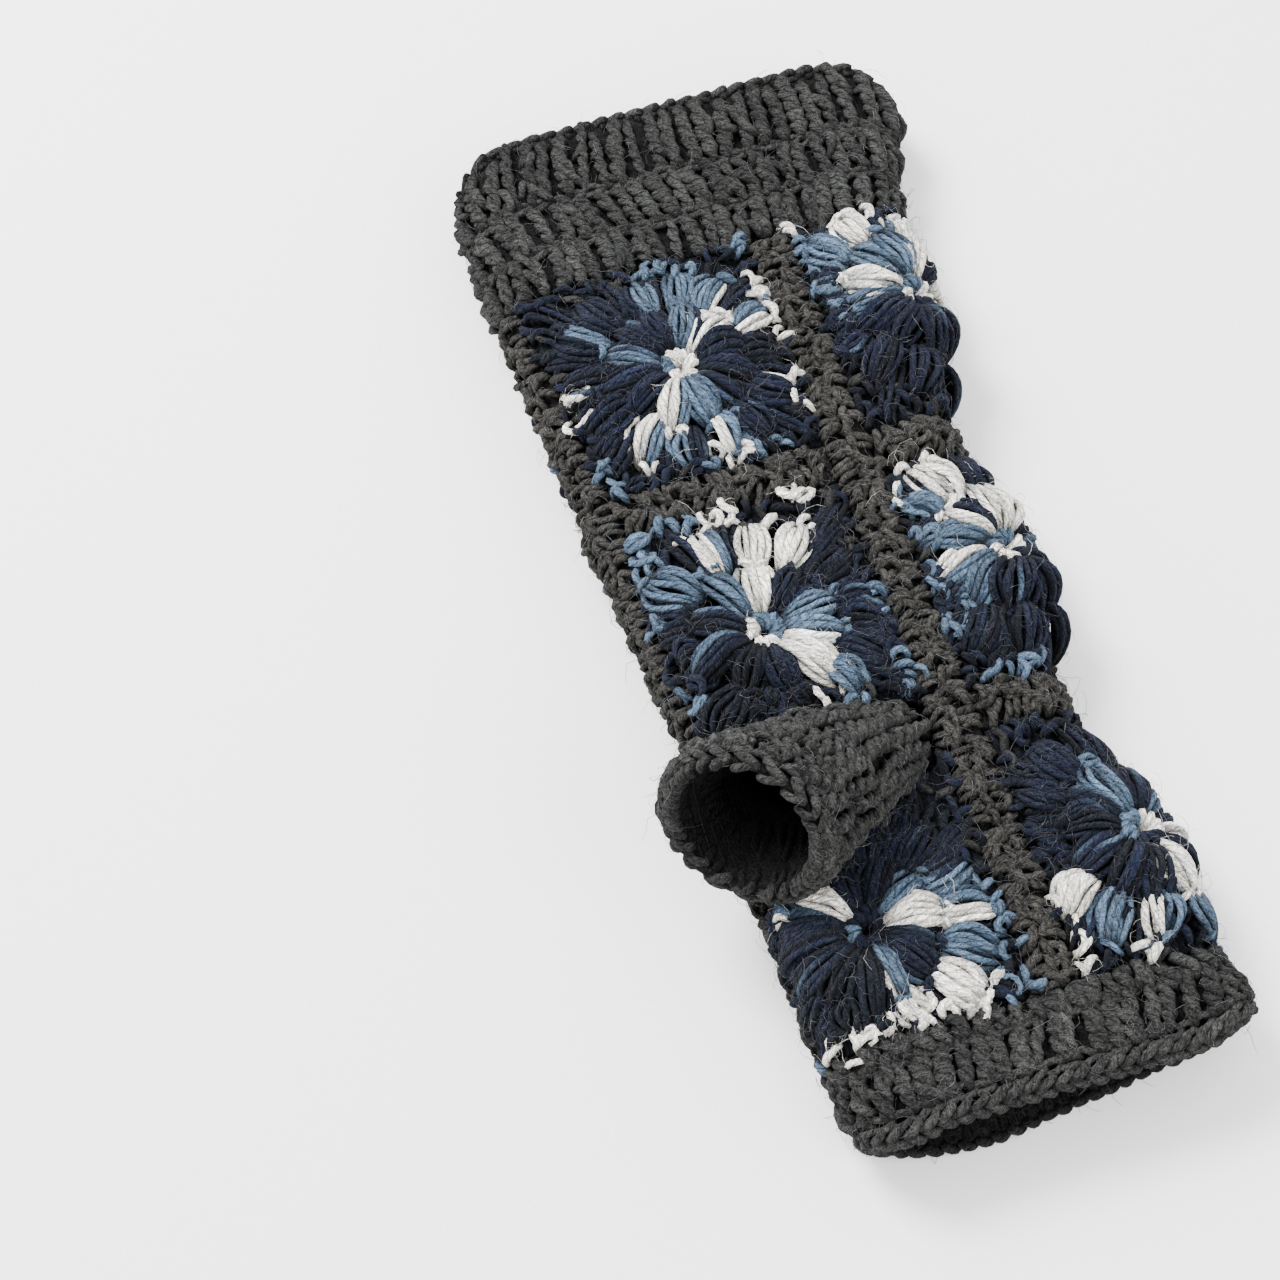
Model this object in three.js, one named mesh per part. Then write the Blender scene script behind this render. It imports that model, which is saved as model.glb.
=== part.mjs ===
// Fingerless crochet glove (wrist warmer), one of a pair, lying flat and plump.
// Nine granny squares are joined into a tube three squares round and three long.
// Charcoal joining seams lie between the squares, a ribbed band closes each end, and a
// short thumb tube stands on the join that is left open between two of the squares.
//
// Frame: millimetres, +Z up, +Y from the finger opening towards the arm opening,
// +X across. The origin is the bottom centre of the bounding box: the glove lies on z = 0.
import * as THREE from "three";

// ---- driving dimensions (mm) -------------------------------------------------------
const LENGTH = 298; // finger rim to arm rim along the glove
const HAND_JOIN = 24; // finger band ends here, first row of squares starts
const RINGS = [98, 175]; // ring seams between the rows of squares
const ARM_JOIN = 247; // last row of squares ends, arm band starts
const SEAM_HALF = 5.5; // half the width of a charcoal joining seam
const GAP = 0.36; // each piece stops this far short of the shared line
const WALL = 2.6; // crocheted base cloth, inward from the base surface
const BAND_OUT = 2.6; // how far the band's ribbed stitches stand out of the base surface
const SEAM_OUT = 3.2; // how far a seam's stitches stand out
const PUFF_EDGE = 3.0; // a square's height at its edge
const PUFF_TOP = 8.2; // a square's height over its ring of puff stitches
const PUFF_DIMPLE = 3.2; // the hollow over the centre ring of the flower
const SIDE_FLAT = 0.2; // share of the puff height that is lost where a square turns over a fold
const SEAM_X = 4.0; // the upper lengthwise seam keeps this x all along the glove
const COLUMN_SHARE = [0.315, 0.342, 0.343]; // left, right and under squares' share of the girth
const ORIGIN = [-10.377, 149.061, 0]; // raw point that becomes the origin

// The base surface: a flattened tube. Every row is one station along the glove.
const STATION_COLUMNS = ["s", "left", "right", "middle", "half"];
const STATIONS = [
  // s: distance from the finger rim; left, right: fold positions; middle: height of the
  // centre; half: half the thickness, which is also the fold's radius
  { s: 0, left: -48.5, right: 46.5, middle: 13.2, half: 10.8 },
  { s: 12, left: -50.0, right: 47.4, middle: 13.4, half: 10.5 },
  { s: 24, left: -51.0, right: 44.2, middle: 13.8, half: 10.3 },
  { s: 52, left: -52.0, right: 41.8, middle: 15.6, half: 10.8 },
  { s: 98, left: -56.0, right: 31.6, middle: 15.2, half: 10.8 },
  { s: 136, left: -60.0, right: 35.8, middle: 15.6, half: 10.8 },
  { s: 175, left: -64.0, right: 31.0, middle: 15.2, half: 10.8 },
  { s: 212, left: -66.0, right: 36.4, middle: 15.6, half: 10.8 },
  { s: 247, left: -68.0, right: 41.2, middle: 14.2, half: 10.4 },
  { s: 262, left: -69.0, right: 44.8, middle: 13.6, half: 10.0 },
  { s: 280, left: -69.2, right: 51.2, middle: 13.0, half: 9.7 },
  { s: 298, left: -67.0, right: 49.5, middle: 12.8, half: 9.6 },
];

// How far each rim is drawn back from its end station: [x, mm] along the upper layer and
// along the lower layer.
const RIM_CUT = {
  hand: {
    upper: [[-52, 3.6], [-47, 0.6], [-40, 0], [-30, 1.8], [9, 1.8], [30, 1.4], [38, 2.8], [47, 7.2]],
    lower: [[-50, 6.6], [-46, 5.2], [-38, 2.8], [-26, 0.6], [-17, 0.6], [7, 3.4], [22, 5.4], [35, 6.8], [47, 9.6]],
  },
  arm: {
    upper: [[-68, 7.0], [-60, 2.0], [-48, 0.6], [28, 0], [38, 0.8], [44, 3.0], [50, 8.5]],
    lower: [[-68, 7.4], [-60, 3.0], [-48, 1.6], [28, 1.6], [38, 2.4], [44, 4.4], [50, 9.0]],
  },
};

// The thumb tube: base oval on the cloth, free rim in the air, towards the finger end.
const THUMB = {
  openUp: 5.0, // how far the open join gapes beyond a seam's half width, to the arm end
  openDown: 12.5, // and to the finger end
  rim: [-58.0, 75.5, 50.0], // centre of the rim
  axis: [-0.65, -0.62, 0.44], // the way the rim faces
  rimLong: 22.0, // rim's half size across
  rimShort: 20.4, // and up the slope
  wall: 3.6,
  baseLift: 26, // how strongly the tube leaves the cloth upright
  rimLift: 18, // how strongly it turns to face the rim's way
  footSquare: 0.65, // 1 makes the foot an oval, less makes it squarer
  baseInset: 1.0, // the tube's foot stays this far inside the gaping join
  press: 0.8, // how far the leaning tube presses the puffs beside it down
};

const AROUND = 9; // facets across a flat square
const AROUND_FOLD = 14; // facets across a square that wraps round the fold
const ALONG = 9; // facets along a square

// ---- small helpers -----------------------------------------------------------------
const clamp = (v, lo, hi) => Math.min(hi, Math.max(lo, v));
const mix = (a, b, t) => a + (b - a) * t;

// Smooth curve through a station column: cubic Hermite with central-difference slopes.
function along(column, s) {
  const n = STATIONS.length;
  s = clamp(s, STATIONS[0].s, STATIONS[n - 1].s);
  let i = 0;
  while (i < n - 2 && s > STATIONS[i + 1].s) i++;
  const slope = (k) => {
    const a = STATIONS[Math.max(0, k - 1)],
      b = STATIONS[Math.min(n - 1, k + 1)];
    return (b[column] - a[column]) / (b.s - a.s);
  };
  const p = STATIONS[i],
    q = STATIONS[i + 1],
    h = q.s - p.s,
    t = (s - p.s) / h;
  const t2 = t * t,
    t3 = t2 * t;
  return (
    (2 * t3 - 3 * t2 + 1) * p[column] +
    (t3 - 2 * t2 + t) * h * slope(i) +
    (3 * t2 - 2 * t3) * q[column] +
    (t3 - t2) * h * slope(i + 1)
  );
}

// Section facts at s: flat length, fold radius, centre and girth.
function section(s) {
  const left = along("left", s),
    right = along("right", s),
    r = along("half", s);
  const flat = right - left - 2 * r;
  return {
    r,
    flat,
    cx: (left + right) / 2,
    cz: along("middle", s),
    girth: 2 * flat + 2 * Math.PI * r,
  };
}

// Base surface point and outward normal. u is the share of the girth, counted from the
// upper lengthwise seam towards +X, round the right fold, under, and up the left fold.
function base(u, s) {
  const c = section(s);
  let p = SEAM_X - c.cx + u * c.girth; // arc position from the top centre
  const half = c.girth / 2;
  p = ((((p + half) % c.girth) + c.girth) % c.girth) - half;
  const sign = p < 0 ? -1 : 1,
    q = Math.abs(p);
  let x, z, nx, nz;
  if (q <= c.flat / 2) [x, z, nx, nz] = [q, c.r, 0, 1];
  else if (q <= c.flat / 2 + Math.PI * c.r) {
    const a = (q - c.flat / 2) / c.r;
    [x, z, nx, nz] = [
      c.flat / 2 + c.r * Math.sin(a),
      c.r * Math.cos(a),
      Math.sin(a),
      Math.cos(a),
    ];
  } else
    [x, z, nx, nz] = [
      c.flat / 2 - (q - c.flat / 2 - Math.PI * c.r),
      -c.r,
      0,
      -1,
    ];
  return {
    point: new THREE.Vector3(c.cx + sign * x, s, c.cz + z),
    normal: new THREE.Vector3(sign * nx, 0, nz),
  };
}

// A point h outside the base surface. Nothing goes under the surface the glove lies on.
function lifted(u, s, h) {
  const { point, normal } = base(u, s);
  point.addScaledVector(normal, h);
  if (point.z < 0) point.z = 0;
  return point;
}

// ---- solids from grids ---------------------------------------------------------------
// outer and inner are grids [i][j] of points that share their edges' order. closed joins
// the last i to the first, as in a tube.
function shell(outer, inner, closed) {
  const ni = outer.length,
    nj = outer[0].length;
  const points = [];
  const index = [];
  const id = (layer, i, j) => layer * ni * nj + (closed ? i % ni : i) * nj + j;
  for (const grid of [outer, inner])
    for (const row of grid) for (const p of row) points.push(p.x, p.y, p.z);
  const quad = (a, b, c, d) => index.push(a, b, c, a, c, d);
  const last = closed ? ni : ni - 1;
  for (let i = 0; i < last; i++)
    for (let j = 0; j < nj - 1; j++) {
      quad(id(0, i, j), id(0, i, j + 1), id(0, i + 1, j + 1), id(0, i + 1, j));
      quad(id(1, i, j), id(1, i + 1, j), id(1, i + 1, j + 1), id(1, i, j + 1));
    }
  for (let i = 0; i < last; i++) {
    quad(id(0, i, 0), id(0, i + 1, 0), id(1, i + 1, 0), id(1, i, 0));
    quad(
      id(0, i, nj - 1),
      id(1, i, nj - 1),
      id(1, i + 1, nj - 1),
      id(0, i + 1, nj - 1),
    );
  }
  if (!closed)
    for (let j = 0; j < nj - 1; j++) {
      quad(id(0, 0, j), id(1, 0, j), id(1, 0, j + 1), id(0, 0, j + 1));
      quad(
        id(0, ni - 1, j),
        id(0, ni - 1, j + 1),
        id(1, ni - 1, j + 1),
        id(1, ni - 1, j),
      );
    }
  const g = new THREE.BufferGeometry();
  g.setAttribute("position", new THREE.Float32BufferAttribute(points, 3));
  g.setIndex(index);
  if (signedVolume(g) < 0) {
    const k = g.index.array;
    for (let i = 0; i < k.length; i += 3) [k[i + 1], k[i + 2]] = [k[i + 2], k[i + 1]];
  }
  g.computeVertexNormals();
  return g;
}

function signedVolume(g) {
  const p = g.attributes.position,
    k = g.index.array;
  const [a, b, c] = [new THREE.Vector3(), new THREE.Vector3(), new THREE.Vector3()];
  let v = 0;
  for (let i = 0; i < k.length; i += 3) {
    a.fromBufferAttribute(p, k[i]);
    b.fromBufferAttribute(p, k[i + 1]);
    c.fromBufferAttribute(p, k[i + 2]);
    v += a.dot(b.cross(c)) / 6;
  }
  return v;
}

const glove = new THREE.Group();
function piece(name, geometry, color, roughness = 0.95) {
  const mesh = new THREE.Mesh(
    geometry,
    new THREE.MeshStandardMaterial({ color, roughness, metalness: 0 }),
  );
  mesh.name = name;
  mesh.position.set(-ORIGIN[0], -ORIGIN[1], -ORIGIN[2]);
  glove.add(mesh);
  return mesh;
}
const CHARCOAL = 0x3b3b3a,
  FLOWER_YARN = 0x3d5273;

// ---- where the squares lie -----------------------------------------------------------
// Columns round the girth, as shares u; the upper seam is u = 0.
const COLUMNS = {
  left: [-COLUMN_SHARE[0], 0],
  right: [0, COLUMN_SHARE[1]],
  under: [COLUMN_SHARE[1], COLUMN_SHARE[1] + COLUMN_SHARE[2]],
};
const ROWS = {
  hand: [HAND_JOIN, RINGS[0]],
  middle: [RINGS[0], RINGS[1]],
  arm: [RINGS[1], ARM_JOIN],
};

// How far the open join gapes at a place a (-1 to 1) across the left column, on the side of
// the arm end (way 1) or of the finger end (way -1).
const gape = (a, way) =>
  SEAM_HALF +
  (way < 0 ? THUMB.openDown : THUMB.openUp) *
    Math.sqrt(Math.max(0, Math.cos((Math.PI / 2) * clamp(a, -1, 1))));

// u at a place a (-1 to 1) between a column's two seams, at station s.
function acrossColumn(column, a, s, inset) {
  const girth = section(s).girth,
    [u0, u1] = COLUMNS[column],
    w = (SEAM_HALF + inset) / girth;
  return mix(u0 + w, u1 - w, (a + 1) / 2);
}

// A square's own height profile: puffed over the petals, low at its edges and centre.
function puff(a, b) {
  const r = Math.hypot(a, b);
  const rise = Math.pow((1 - a ** 6) * (1 - b ** 6), 0.55);
  return (
    PUFF_EDGE +
    (PUFF_TOP - PUFF_EDGE) * rise -
    PUFF_DIMPLE * Math.exp(-((r / 0.2) ** 2))
  );
}

// Where the thumb tube leans on the square beside the open join: 1 at the join, 0 away.
function leanedOn(a, b) {
  const t = clamp((b + 0.1) / 0.7, 0, 1);
  return t * t * (3 - 2 * t) * Math.cos((Math.PI / 2) * clamp(a * 0.85, -1, 1));
}

function square(row, column) {
  const [r0, r1] = ROWS[row];
  const n = column === "left" ? AROUND : AROUND_FOLD;
  const outer = [],
    inner = [];
  for (let i = 0; i <= n; i++) {
    const a = (2 * i) / n - 1;
    // the edge at a ring seam stops at the seam; at the open join it follows the gape
    let s0 = r0 === HAND_JOIN ? r0 + GAP : r0 + SEAM_HALF + GAP;
    let s1 = r1 === ARM_JOIN ? r1 - GAP : r1 - SEAM_HALF - GAP;
    if (column === "left" && row === "hand") s1 = r1 - gape(a, -1) - GAP;
    if (column === "left" && row === "middle") s0 = r0 + gape(a, 1) + GAP;
    const o = [],
      q = [];
    for (let j = 0; j <= ALONG; j++) {
      const b = (2 * j) / ALONG - 1,
        s = mix(s0, s1, (b + 1) / 2),
        u = acrossColumn(column, a, s, GAP);
      let h = puff(a, b) * (1 - SIDE_FLAT * (1 - Math.abs(base(u, s).normal.z)));
      if (column === "left" && row === "hand") h *= 1 - THUMB.press * leanedOn(a, b);
      o.push(lifted(u, s, h));
      q.push(lifted(u, s, -WALL));
    }
    outer.push(o);
    inner.push(q);
  }
  return shell(outer, inner, false);
}
for (const row of Object.keys(ROWS))
  for (const column of Object.keys(COLUMNS))
    piece(`square_${row}_${column}`, square(row, column), FLOWER_YARN);

// ---- lengthwise seams ------------------------------------------------------------------
function columnSeam(u0) {
  const cuts = [];
  const edges = [HAND_JOIN + GAP, ...RINGS, ARM_JOIN - GAP];
  for (let k = 0; k < edges.length - 1; k++)
    for (let j = k ? 1 : 0; j <= ALONG - 1; j++)
      cuts.push(mix(edges[k], edges[k + 1], j / (ALONG - 1)));
  const outer = [],
    inner = [];
  for (const [w, out] of [
    [-1, SEAM_OUT * 0.75],
    [-0.4, SEAM_OUT],
    [0.4, SEAM_OUT],
    [1, SEAM_OUT * 0.75],
  ]) {
    const at = (s) => u0 + (w * (SEAM_HALF - GAP)) / section(s).girth;
    outer.push(cuts.map((s) => lifted(at(s), s, out)));
    inner.push(cuts.map((s) => lifted(at(s), s, -WALL)));
  }
  return shell(outer, inner, false);
}
piece("seam_upper", columnSeam(0), CHARCOAL);
piece("seam_under", columnSeam(COLUMNS.right[1]), CHARCOAL);
piece("seam_left_fold", columnSeam(COLUMNS.left[0]), CHARCOAL);

// ---- ring seams between the rows -------------------------------------------------------
function ringSeam(s0, column) {
  const n = column === "left" ? AROUND : AROUND_FOLD;
  const outer = [],
    inner = [];
  for (let i = 0; i <= n; i++) {
    const a = (2 * i) / n - 1;
    const o = [],
      q = [];
    for (const [w, out] of [
      [-1, SEAM_OUT * 0.75],
      [-0.4, SEAM_OUT],
      [0.4, SEAM_OUT],
      [1, SEAM_OUT * 0.75],
    ]) {
      const s = s0 + w * (SEAM_HALF - GAP),
        u = acrossColumn(column, a, s, GAP);
      o.push(lifted(u, s, out));
      q.push(lifted(u, s, -WALL));
    }
    outer.push(o);
    inner.push(q);
  }
  return shell(outer, inner, false);
}
piece("seam_ring_hand_right", ringSeam(RINGS[0], "right"), CHARCOAL);
piece("seam_ring_hand_under", ringSeam(RINGS[0], "under"), CHARCOAL);
piece("seam_ring_arm_left", ringSeam(RINGS[1], "left"), CHARCOAL);
piece("seam_ring_arm_right", ringSeam(RINGS[1], "right"), CHARCOAL);
piece("seam_ring_arm_under", ringSeam(RINGS[1], "under"), CHARCOAL);

// ---- end bands -------------------------------------------------------------------------
// Piecewise-linear value of a table of [x, value].
function table(rows, x) {
  if (x <= rows[0][0]) return rows[0][1];
  for (let k = 1; k < rows.length; k++)
    if (x <= rows[k][0])
      return mix(
        rows[k - 1][1],
        rows[k][1],
        (x - rows[k - 1][0]) / (rows[k][0] - rows[k - 1][0]),
      );
  return rows[rows.length - 1][1];
}

// How far the rim at an end is drawn back at u.
function rimCut(end, u) {
  const { point, normal } = base(u, end === "hand" ? 3 : LENGTH - 3);
  const t = (normal.z + 1) / 2;
  return mix(table(RIM_CUT[end].lower, point.x), table(RIM_CUT[end].upper, point.x), t);
}

// A band is a tube; its free rim is rounded over by the last row of chain stitches.
function band(end, s0, s1, rows, rimAtStart) {
  const n = 48;
  const outer = [],
    inner = [];
  for (let i = 0; i < n; i++) {
    const u = i / n,
      o = [],
      q = [];
    const cut = rimCut(end, u);
    for (let j = 0; j <= rows; j++) {
      const t = j / rows,
        s = rimAtStart ? mix(s0 + cut, s1, t) : mix(s0, s1 - cut, t);
      const toRim = rimAtStart ? t : 1 - t; // 0 at the rim
      const out = toRim < 0.01 ? BAND_OUT * 0.55 : BAND_OUT;
      o.push(lifted(u, s, out));
      q.push(lifted(u, s, -WALL * (toRim < 0.01 ? 0.5 : 0.8)));
    }
    outer.push(o);
    inner.push(q);
  }
  return shell(outer, inner, true);
}
piece("band_hand", band("hand", 0, HAND_JOIN - GAP, 4, true), CHARCOAL);
piece("band_arm", band("arm", ARM_JOIN + GAP, LENGTH, 6, false), CHARCOAL);

// ---- thumb tube ------------------------------------------------------------------------
// Starts inside the gaping join, leaves the cloth upright and turns towards the finger end.
function thumbTube() {
  const n = 30,
    steps = 7;
  const axis = new THREE.Vector3(...THUMB.axis).normalize();
  // the rim's long side lies across the way it leans, its short side up the slope
  const shortDir = new THREE.Vector3(0, 0, 1).addScaledVector(axis, -axis.z).normalize();
  const longDir = new THREE.Vector3().crossVectors(shortDir, axis).normalize();
  const rimCentre = new THREE.Vector3(...THUMB.rim);
  const join = RINGS[0];
  const baseAt = (phi, inset, h) => {
    // a squarish oval, so that the foot is still broad near the seams
    const squarish = (v) => Math.sign(v) * Math.abs(v) ** THUMB.footSquare;
    const c = squarish(Math.cos(phi)),
      d = squarish(Math.sin(phi));
    const width = (section(join).girth * COLUMN_SHARE[0]) / 2 - SEAM_HALF;
    const a = c * (1 - (GAP * 2 + THUMB.baseInset + inset) / width);
    const s = join + d * (gape(a, d) - GAP - THUMB.baseInset - inset);
    return {
      point: lifted(acrossColumn("left", a, s, 0), s, h),
      normal: base(acrossColumn("left", a, s, 0), s).normal,
    };
  };
  // the rim's angle that faces the base's angle, so that the tube doesn't twist
  const towards = (phi) => {
    const d = new THREE.Vector3(Math.cos(phi), Math.sin(phi), 0);
    return Math.atan2(d.dot(shortDir), d.dot(longDir));
  };
  const wallAt = (phi, inset, t) => {
    const b = baseAt(phi, inset, -WALL);
    const w = towards(phi);
    const rim = rimCentre
      .clone()
      .addScaledVector(longDir, Math.cos(w) * (THUMB.rimLong - inset))
      .addScaledVector(shortDir, Math.sin(w) * (THUMB.rimShort - inset));
    const t2 = t * t,
      t3 = t2 * t;
    return new THREE.Vector3()
      .addScaledVector(b.point, 2 * t3 - 3 * t2 + 1)
      .addScaledVector(b.normal, (t3 - 2 * t2 + t) * THUMB.baseLift)
      .addScaledVector(rim, 3 * t2 - 2 * t3)
      .addScaledVector(axis, (t3 - t2) * THUMB.rimLift);
  };
  const outer = [],
    inner = [];
  for (let i = 0; i < n; i++) {
    const phi = (2 * Math.PI * i) / n;
    outer.push(Array.from({ length: steps + 1 }, (_, j) => wallAt(phi, 0, j / steps)));
    inner.push(
      Array.from({ length: steps + 1 }, (_, j) => wallAt(phi, THUMB.wall, j / steps)),
    );
  }
  return shell(outer, inner, true);
}
piece("thumb", thumbTube(), CHARCOAL);

export default glove;
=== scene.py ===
"""Fingerless crochet glove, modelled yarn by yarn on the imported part.

Lengths are in millimetres until the meshes are made, in the part's own frame before its
origin shift: s runs along the glove from the finger rim, u is the share of the girth counted
from the upper lengthwise seam towards +X, and h is the height out of the base surface.
"""

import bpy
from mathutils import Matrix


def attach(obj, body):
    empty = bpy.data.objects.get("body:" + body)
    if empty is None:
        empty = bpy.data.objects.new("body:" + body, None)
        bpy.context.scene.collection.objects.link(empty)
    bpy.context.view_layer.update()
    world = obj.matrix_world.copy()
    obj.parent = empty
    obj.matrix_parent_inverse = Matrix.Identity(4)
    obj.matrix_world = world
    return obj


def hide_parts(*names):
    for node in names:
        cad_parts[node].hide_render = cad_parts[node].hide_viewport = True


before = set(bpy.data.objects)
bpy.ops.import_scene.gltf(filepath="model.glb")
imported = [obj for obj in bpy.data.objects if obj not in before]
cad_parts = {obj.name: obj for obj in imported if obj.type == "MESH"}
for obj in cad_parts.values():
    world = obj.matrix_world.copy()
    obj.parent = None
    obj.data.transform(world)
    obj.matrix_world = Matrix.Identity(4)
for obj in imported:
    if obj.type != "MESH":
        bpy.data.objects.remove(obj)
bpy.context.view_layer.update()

import math

import bpy
import numpy as np
from mathutils import Vector

# ---------------------------------------------------------------------------------------
# the glove's measurements, as in the part
# ---------------------------------------------------------------------------------------
LENGTH, HAND_JOIN, ARM_JOIN = 298.0, 24.0, 247.0
RINGS = (98.0, 175.0)
SEAM_HALF, GAP, WALL = 5.5, 0.36, 2.6
SIDE_FLAT = 0.2
SEAM_X = 4.0
SHARE = (0.315, 0.342, 0.343)
ORIGIN = np.array([-10.377, 149.061, 0.0])
STATIONS = np.array(
    [
        # s, left, right, middle, half
        (0, -48.5, 46.5, 13.2, 10.8),
        (12, -50.0, 47.4, 13.4, 10.5),
        (24, -51.0, 44.2, 13.8, 10.3),
        (52, -52.0, 41.8, 15.6, 10.8),
        (98, -56.0, 31.6, 15.2, 10.8),
        (136, -60.0, 35.8, 15.6, 10.8),
        (175, -64.0, 31.0, 15.2, 10.8),
        (212, -66.0, 36.4, 15.6, 10.8),
        (247, -68.0, 41.2, 14.2, 10.4),
        (262, -69.0, 44.8, 13.6, 10.0),
        (280, -69.2, 51.2, 13.0, 9.7),
        (298, -67.0, 49.5, 12.8, 9.6),
    ]
)
# how far each rim is drawn back: (x, mm) along the upper and along the lower layer
RIM_CUT = {
    "hand": (
        np.array([(-52, 3.6), (-47, 0.6), (-40, 0), (-30, 1.8), (9, 1.8), (30, 1.4), (38, 2.8), (47, 7.2)]),
        np.array([(-50, 6.6), (-46, 5.2), (-38, 2.8), (-26, 0.6), (-17, 0.6), (7, 3.4), (22, 5.4), (35, 6.8), (47, 9.6)]),
    ),
    "arm": (
        np.array([(-68, 7.0), (-60, 2.0), (-48, 0.6), (28, 0), (38, 0.8), (44, 3.0), (50, 8.5)]),
        np.array([(-68, 7.4), (-60, 3.0), (-48, 1.6), (28, 1.6), (38, 2.4), (44, 4.4), (50, 9.0)]),
    ),
}
OPEN_UP, OPEN_DOWN = 5.0, 12.5
RIM_CENTRE = np.array([-58.0, 75.5, 50.0])
RIM_AXIS = np.array([-0.65, -0.62, 0.44])
RIM_LONG, RIM_SHORT, THUMB_WALL = 22.0, 20.4, 3.6
BASE_LIFT, RIM_LIFT, BASE_INSET, PRESS, FOOT_SQUARE = 26.0, 18.0, 1.0, 0.8, 0.65

COLUMNS = {
    "left": (-SHARE[0], 0.0),
    "right": (0.0, SHARE[1]),
    "under": (SHARE[1], SHARE[1] + SHARE[2]),
}
ROWS = {
    "hand": (HAND_JOIN, RINGS[0]),
    "middle": (RINGS[0], RINGS[1]),
    "arm": (RINGS[1], ARM_JOIN),
}

rng = np.random.default_rng(20614)


def unit(v):
    return v / np.maximum(np.linalg.norm(v, axis=-1, keepdims=True), 1e-9)


# ---------------------------------------------------------------------------------------
# surfaces
# ---------------------------------------------------------------------------------------
_S = STATIONS[:, 0]
_slope = np.empty_like(STATIONS)
_slope[1:-1] = (STATIONS[2:] - STATIONS[:-2]) / (_S[2:] - _S[:-2])[:, None]
_slope[0] = (STATIONS[1] - STATIONS[0]) / (_S[1] - _S[0])
_slope[-1] = (STATIONS[-1] - STATIONS[-2]) / (_S[-1] - _S[-2])


def section(s):
    """Fold radius, flat length, centre x, centre z and girth of the flattened tube at s."""
    s = np.clip(s, 0.0, LENGTH)
    i = np.clip(np.searchsorted(_S, s, "right") - 1, 0, len(_S) - 2)
    h = _S[i + 1] - _S[i]
    t = (s - _S[i]) / h
    t2, t3 = t * t, t * t * t
    value = []
    for c in (1, 2, 3, 4):
        value.append(
            (2 * t3 - 3 * t2 + 1) * STATIONS[i, c]
            + (t3 - 2 * t2 + t) * h * _slope[i, c]
            + (3 * t2 - 2 * t3) * STATIONS[i + 1, c]
            + (t3 - t2) * h * _slope[i + 1, c]
        )
    left, right, middle, r = value
    flat = right - left - 2 * r
    return r, flat, (left + right) / 2, middle, 2 * flat + 2 * math.pi * r


def base(u, s):
    """Point and outward normal of the base surface."""
    r, flat, cx, cz, girth = section(s)
    p = SEAM_X - cx + u * girth
    p = np.mod(p + girth / 2, girth) - girth / 2
    sign = np.where(p < 0, -1.0, 1.0)
    q = np.abs(p)
    a = np.clip((q - flat / 2) / r, 0.0, math.pi)
    over = np.maximum(q - flat / 2 - math.pi * r, 0.0)
    x = np.minimum(q, flat / 2) + r * np.sin(a) - over
    z = r * np.cos(a)
    point = np.stack([cx + sign * x, s + 0 * x, cz + z], -1)
    normal = np.stack([sign * np.sin(a), 0 * x, np.cos(a)], -1)
    return point, normal


class Tube:
    """The flattened tube. A place is an anchor (u, s) and offsets in mm across, along and out."""

    @staticmethod
    def place(u, s, x, y, h):
        s2 = s + y
        girth = section(s2)[4]
        point, normal = base(u + x / girth, s2)
        return point + normal * h[..., None], normal


class Band:
    """The tube near one end, with its rim drawn back."""

    def __init__(self, end):
        self.end = end

    def cut(self, u):
        point, normal = base(u, np.full(np.shape(u), 3.0 if self.end == "hand" else LENGTH - 3.0))
        upper, lower = RIM_CUT[self.end]
        t = (normal[..., 2] + 1) / 2
        x = point[..., 0]
        return (1 - t) * np.interp(x, lower[:, 0], lower[:, 1]) + t * np.interp(x, upper[:, 0], upper[:, 1])

    def place(self, u, s, x, y, h):
        s2 = s + y
        uu = u + x / section(s2)[4]
        if self.end == "hand":
            s2 = s2 + self.cut(uu) * (HAND_JOIN - s2) / HAND_JOIN
        else:
            s2 = s2 - self.cut(uu) * (s2 - ARM_JOIN) / (LENGTH - ARM_JOIN)
        point, normal = base(uu, s2)
        return point + normal * h[..., None], normal


def smooth(t):
    t = np.clip(t, 0.0, 1.0)
    return t * t * (3 - 2 * t)


def gape(a, way):
    side = np.where(np.asarray(way) < 0, OPEN_DOWN, OPEN_UP)
    return SEAM_HALF + side * np.sqrt(np.maximum(0.0, np.cos(math.pi / 2 * np.clip(a, -1, 1))))


def leaned_on(a, b):
    return smooth((b + 0.1) / 0.7) * np.cos(math.pi / 2 * np.clip(a * 0.85, -1, 1))


# the thumb tube's skin
_axis = RIM_AXIS / np.linalg.norm(RIM_AXIS)
_short = np.array([0, 0, 1.0]) - _axis * _axis[2]
_short /= np.linalg.norm(_short)
_long = np.cross(_short, _axis)
_long /= np.linalg.norm(_long)


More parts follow.
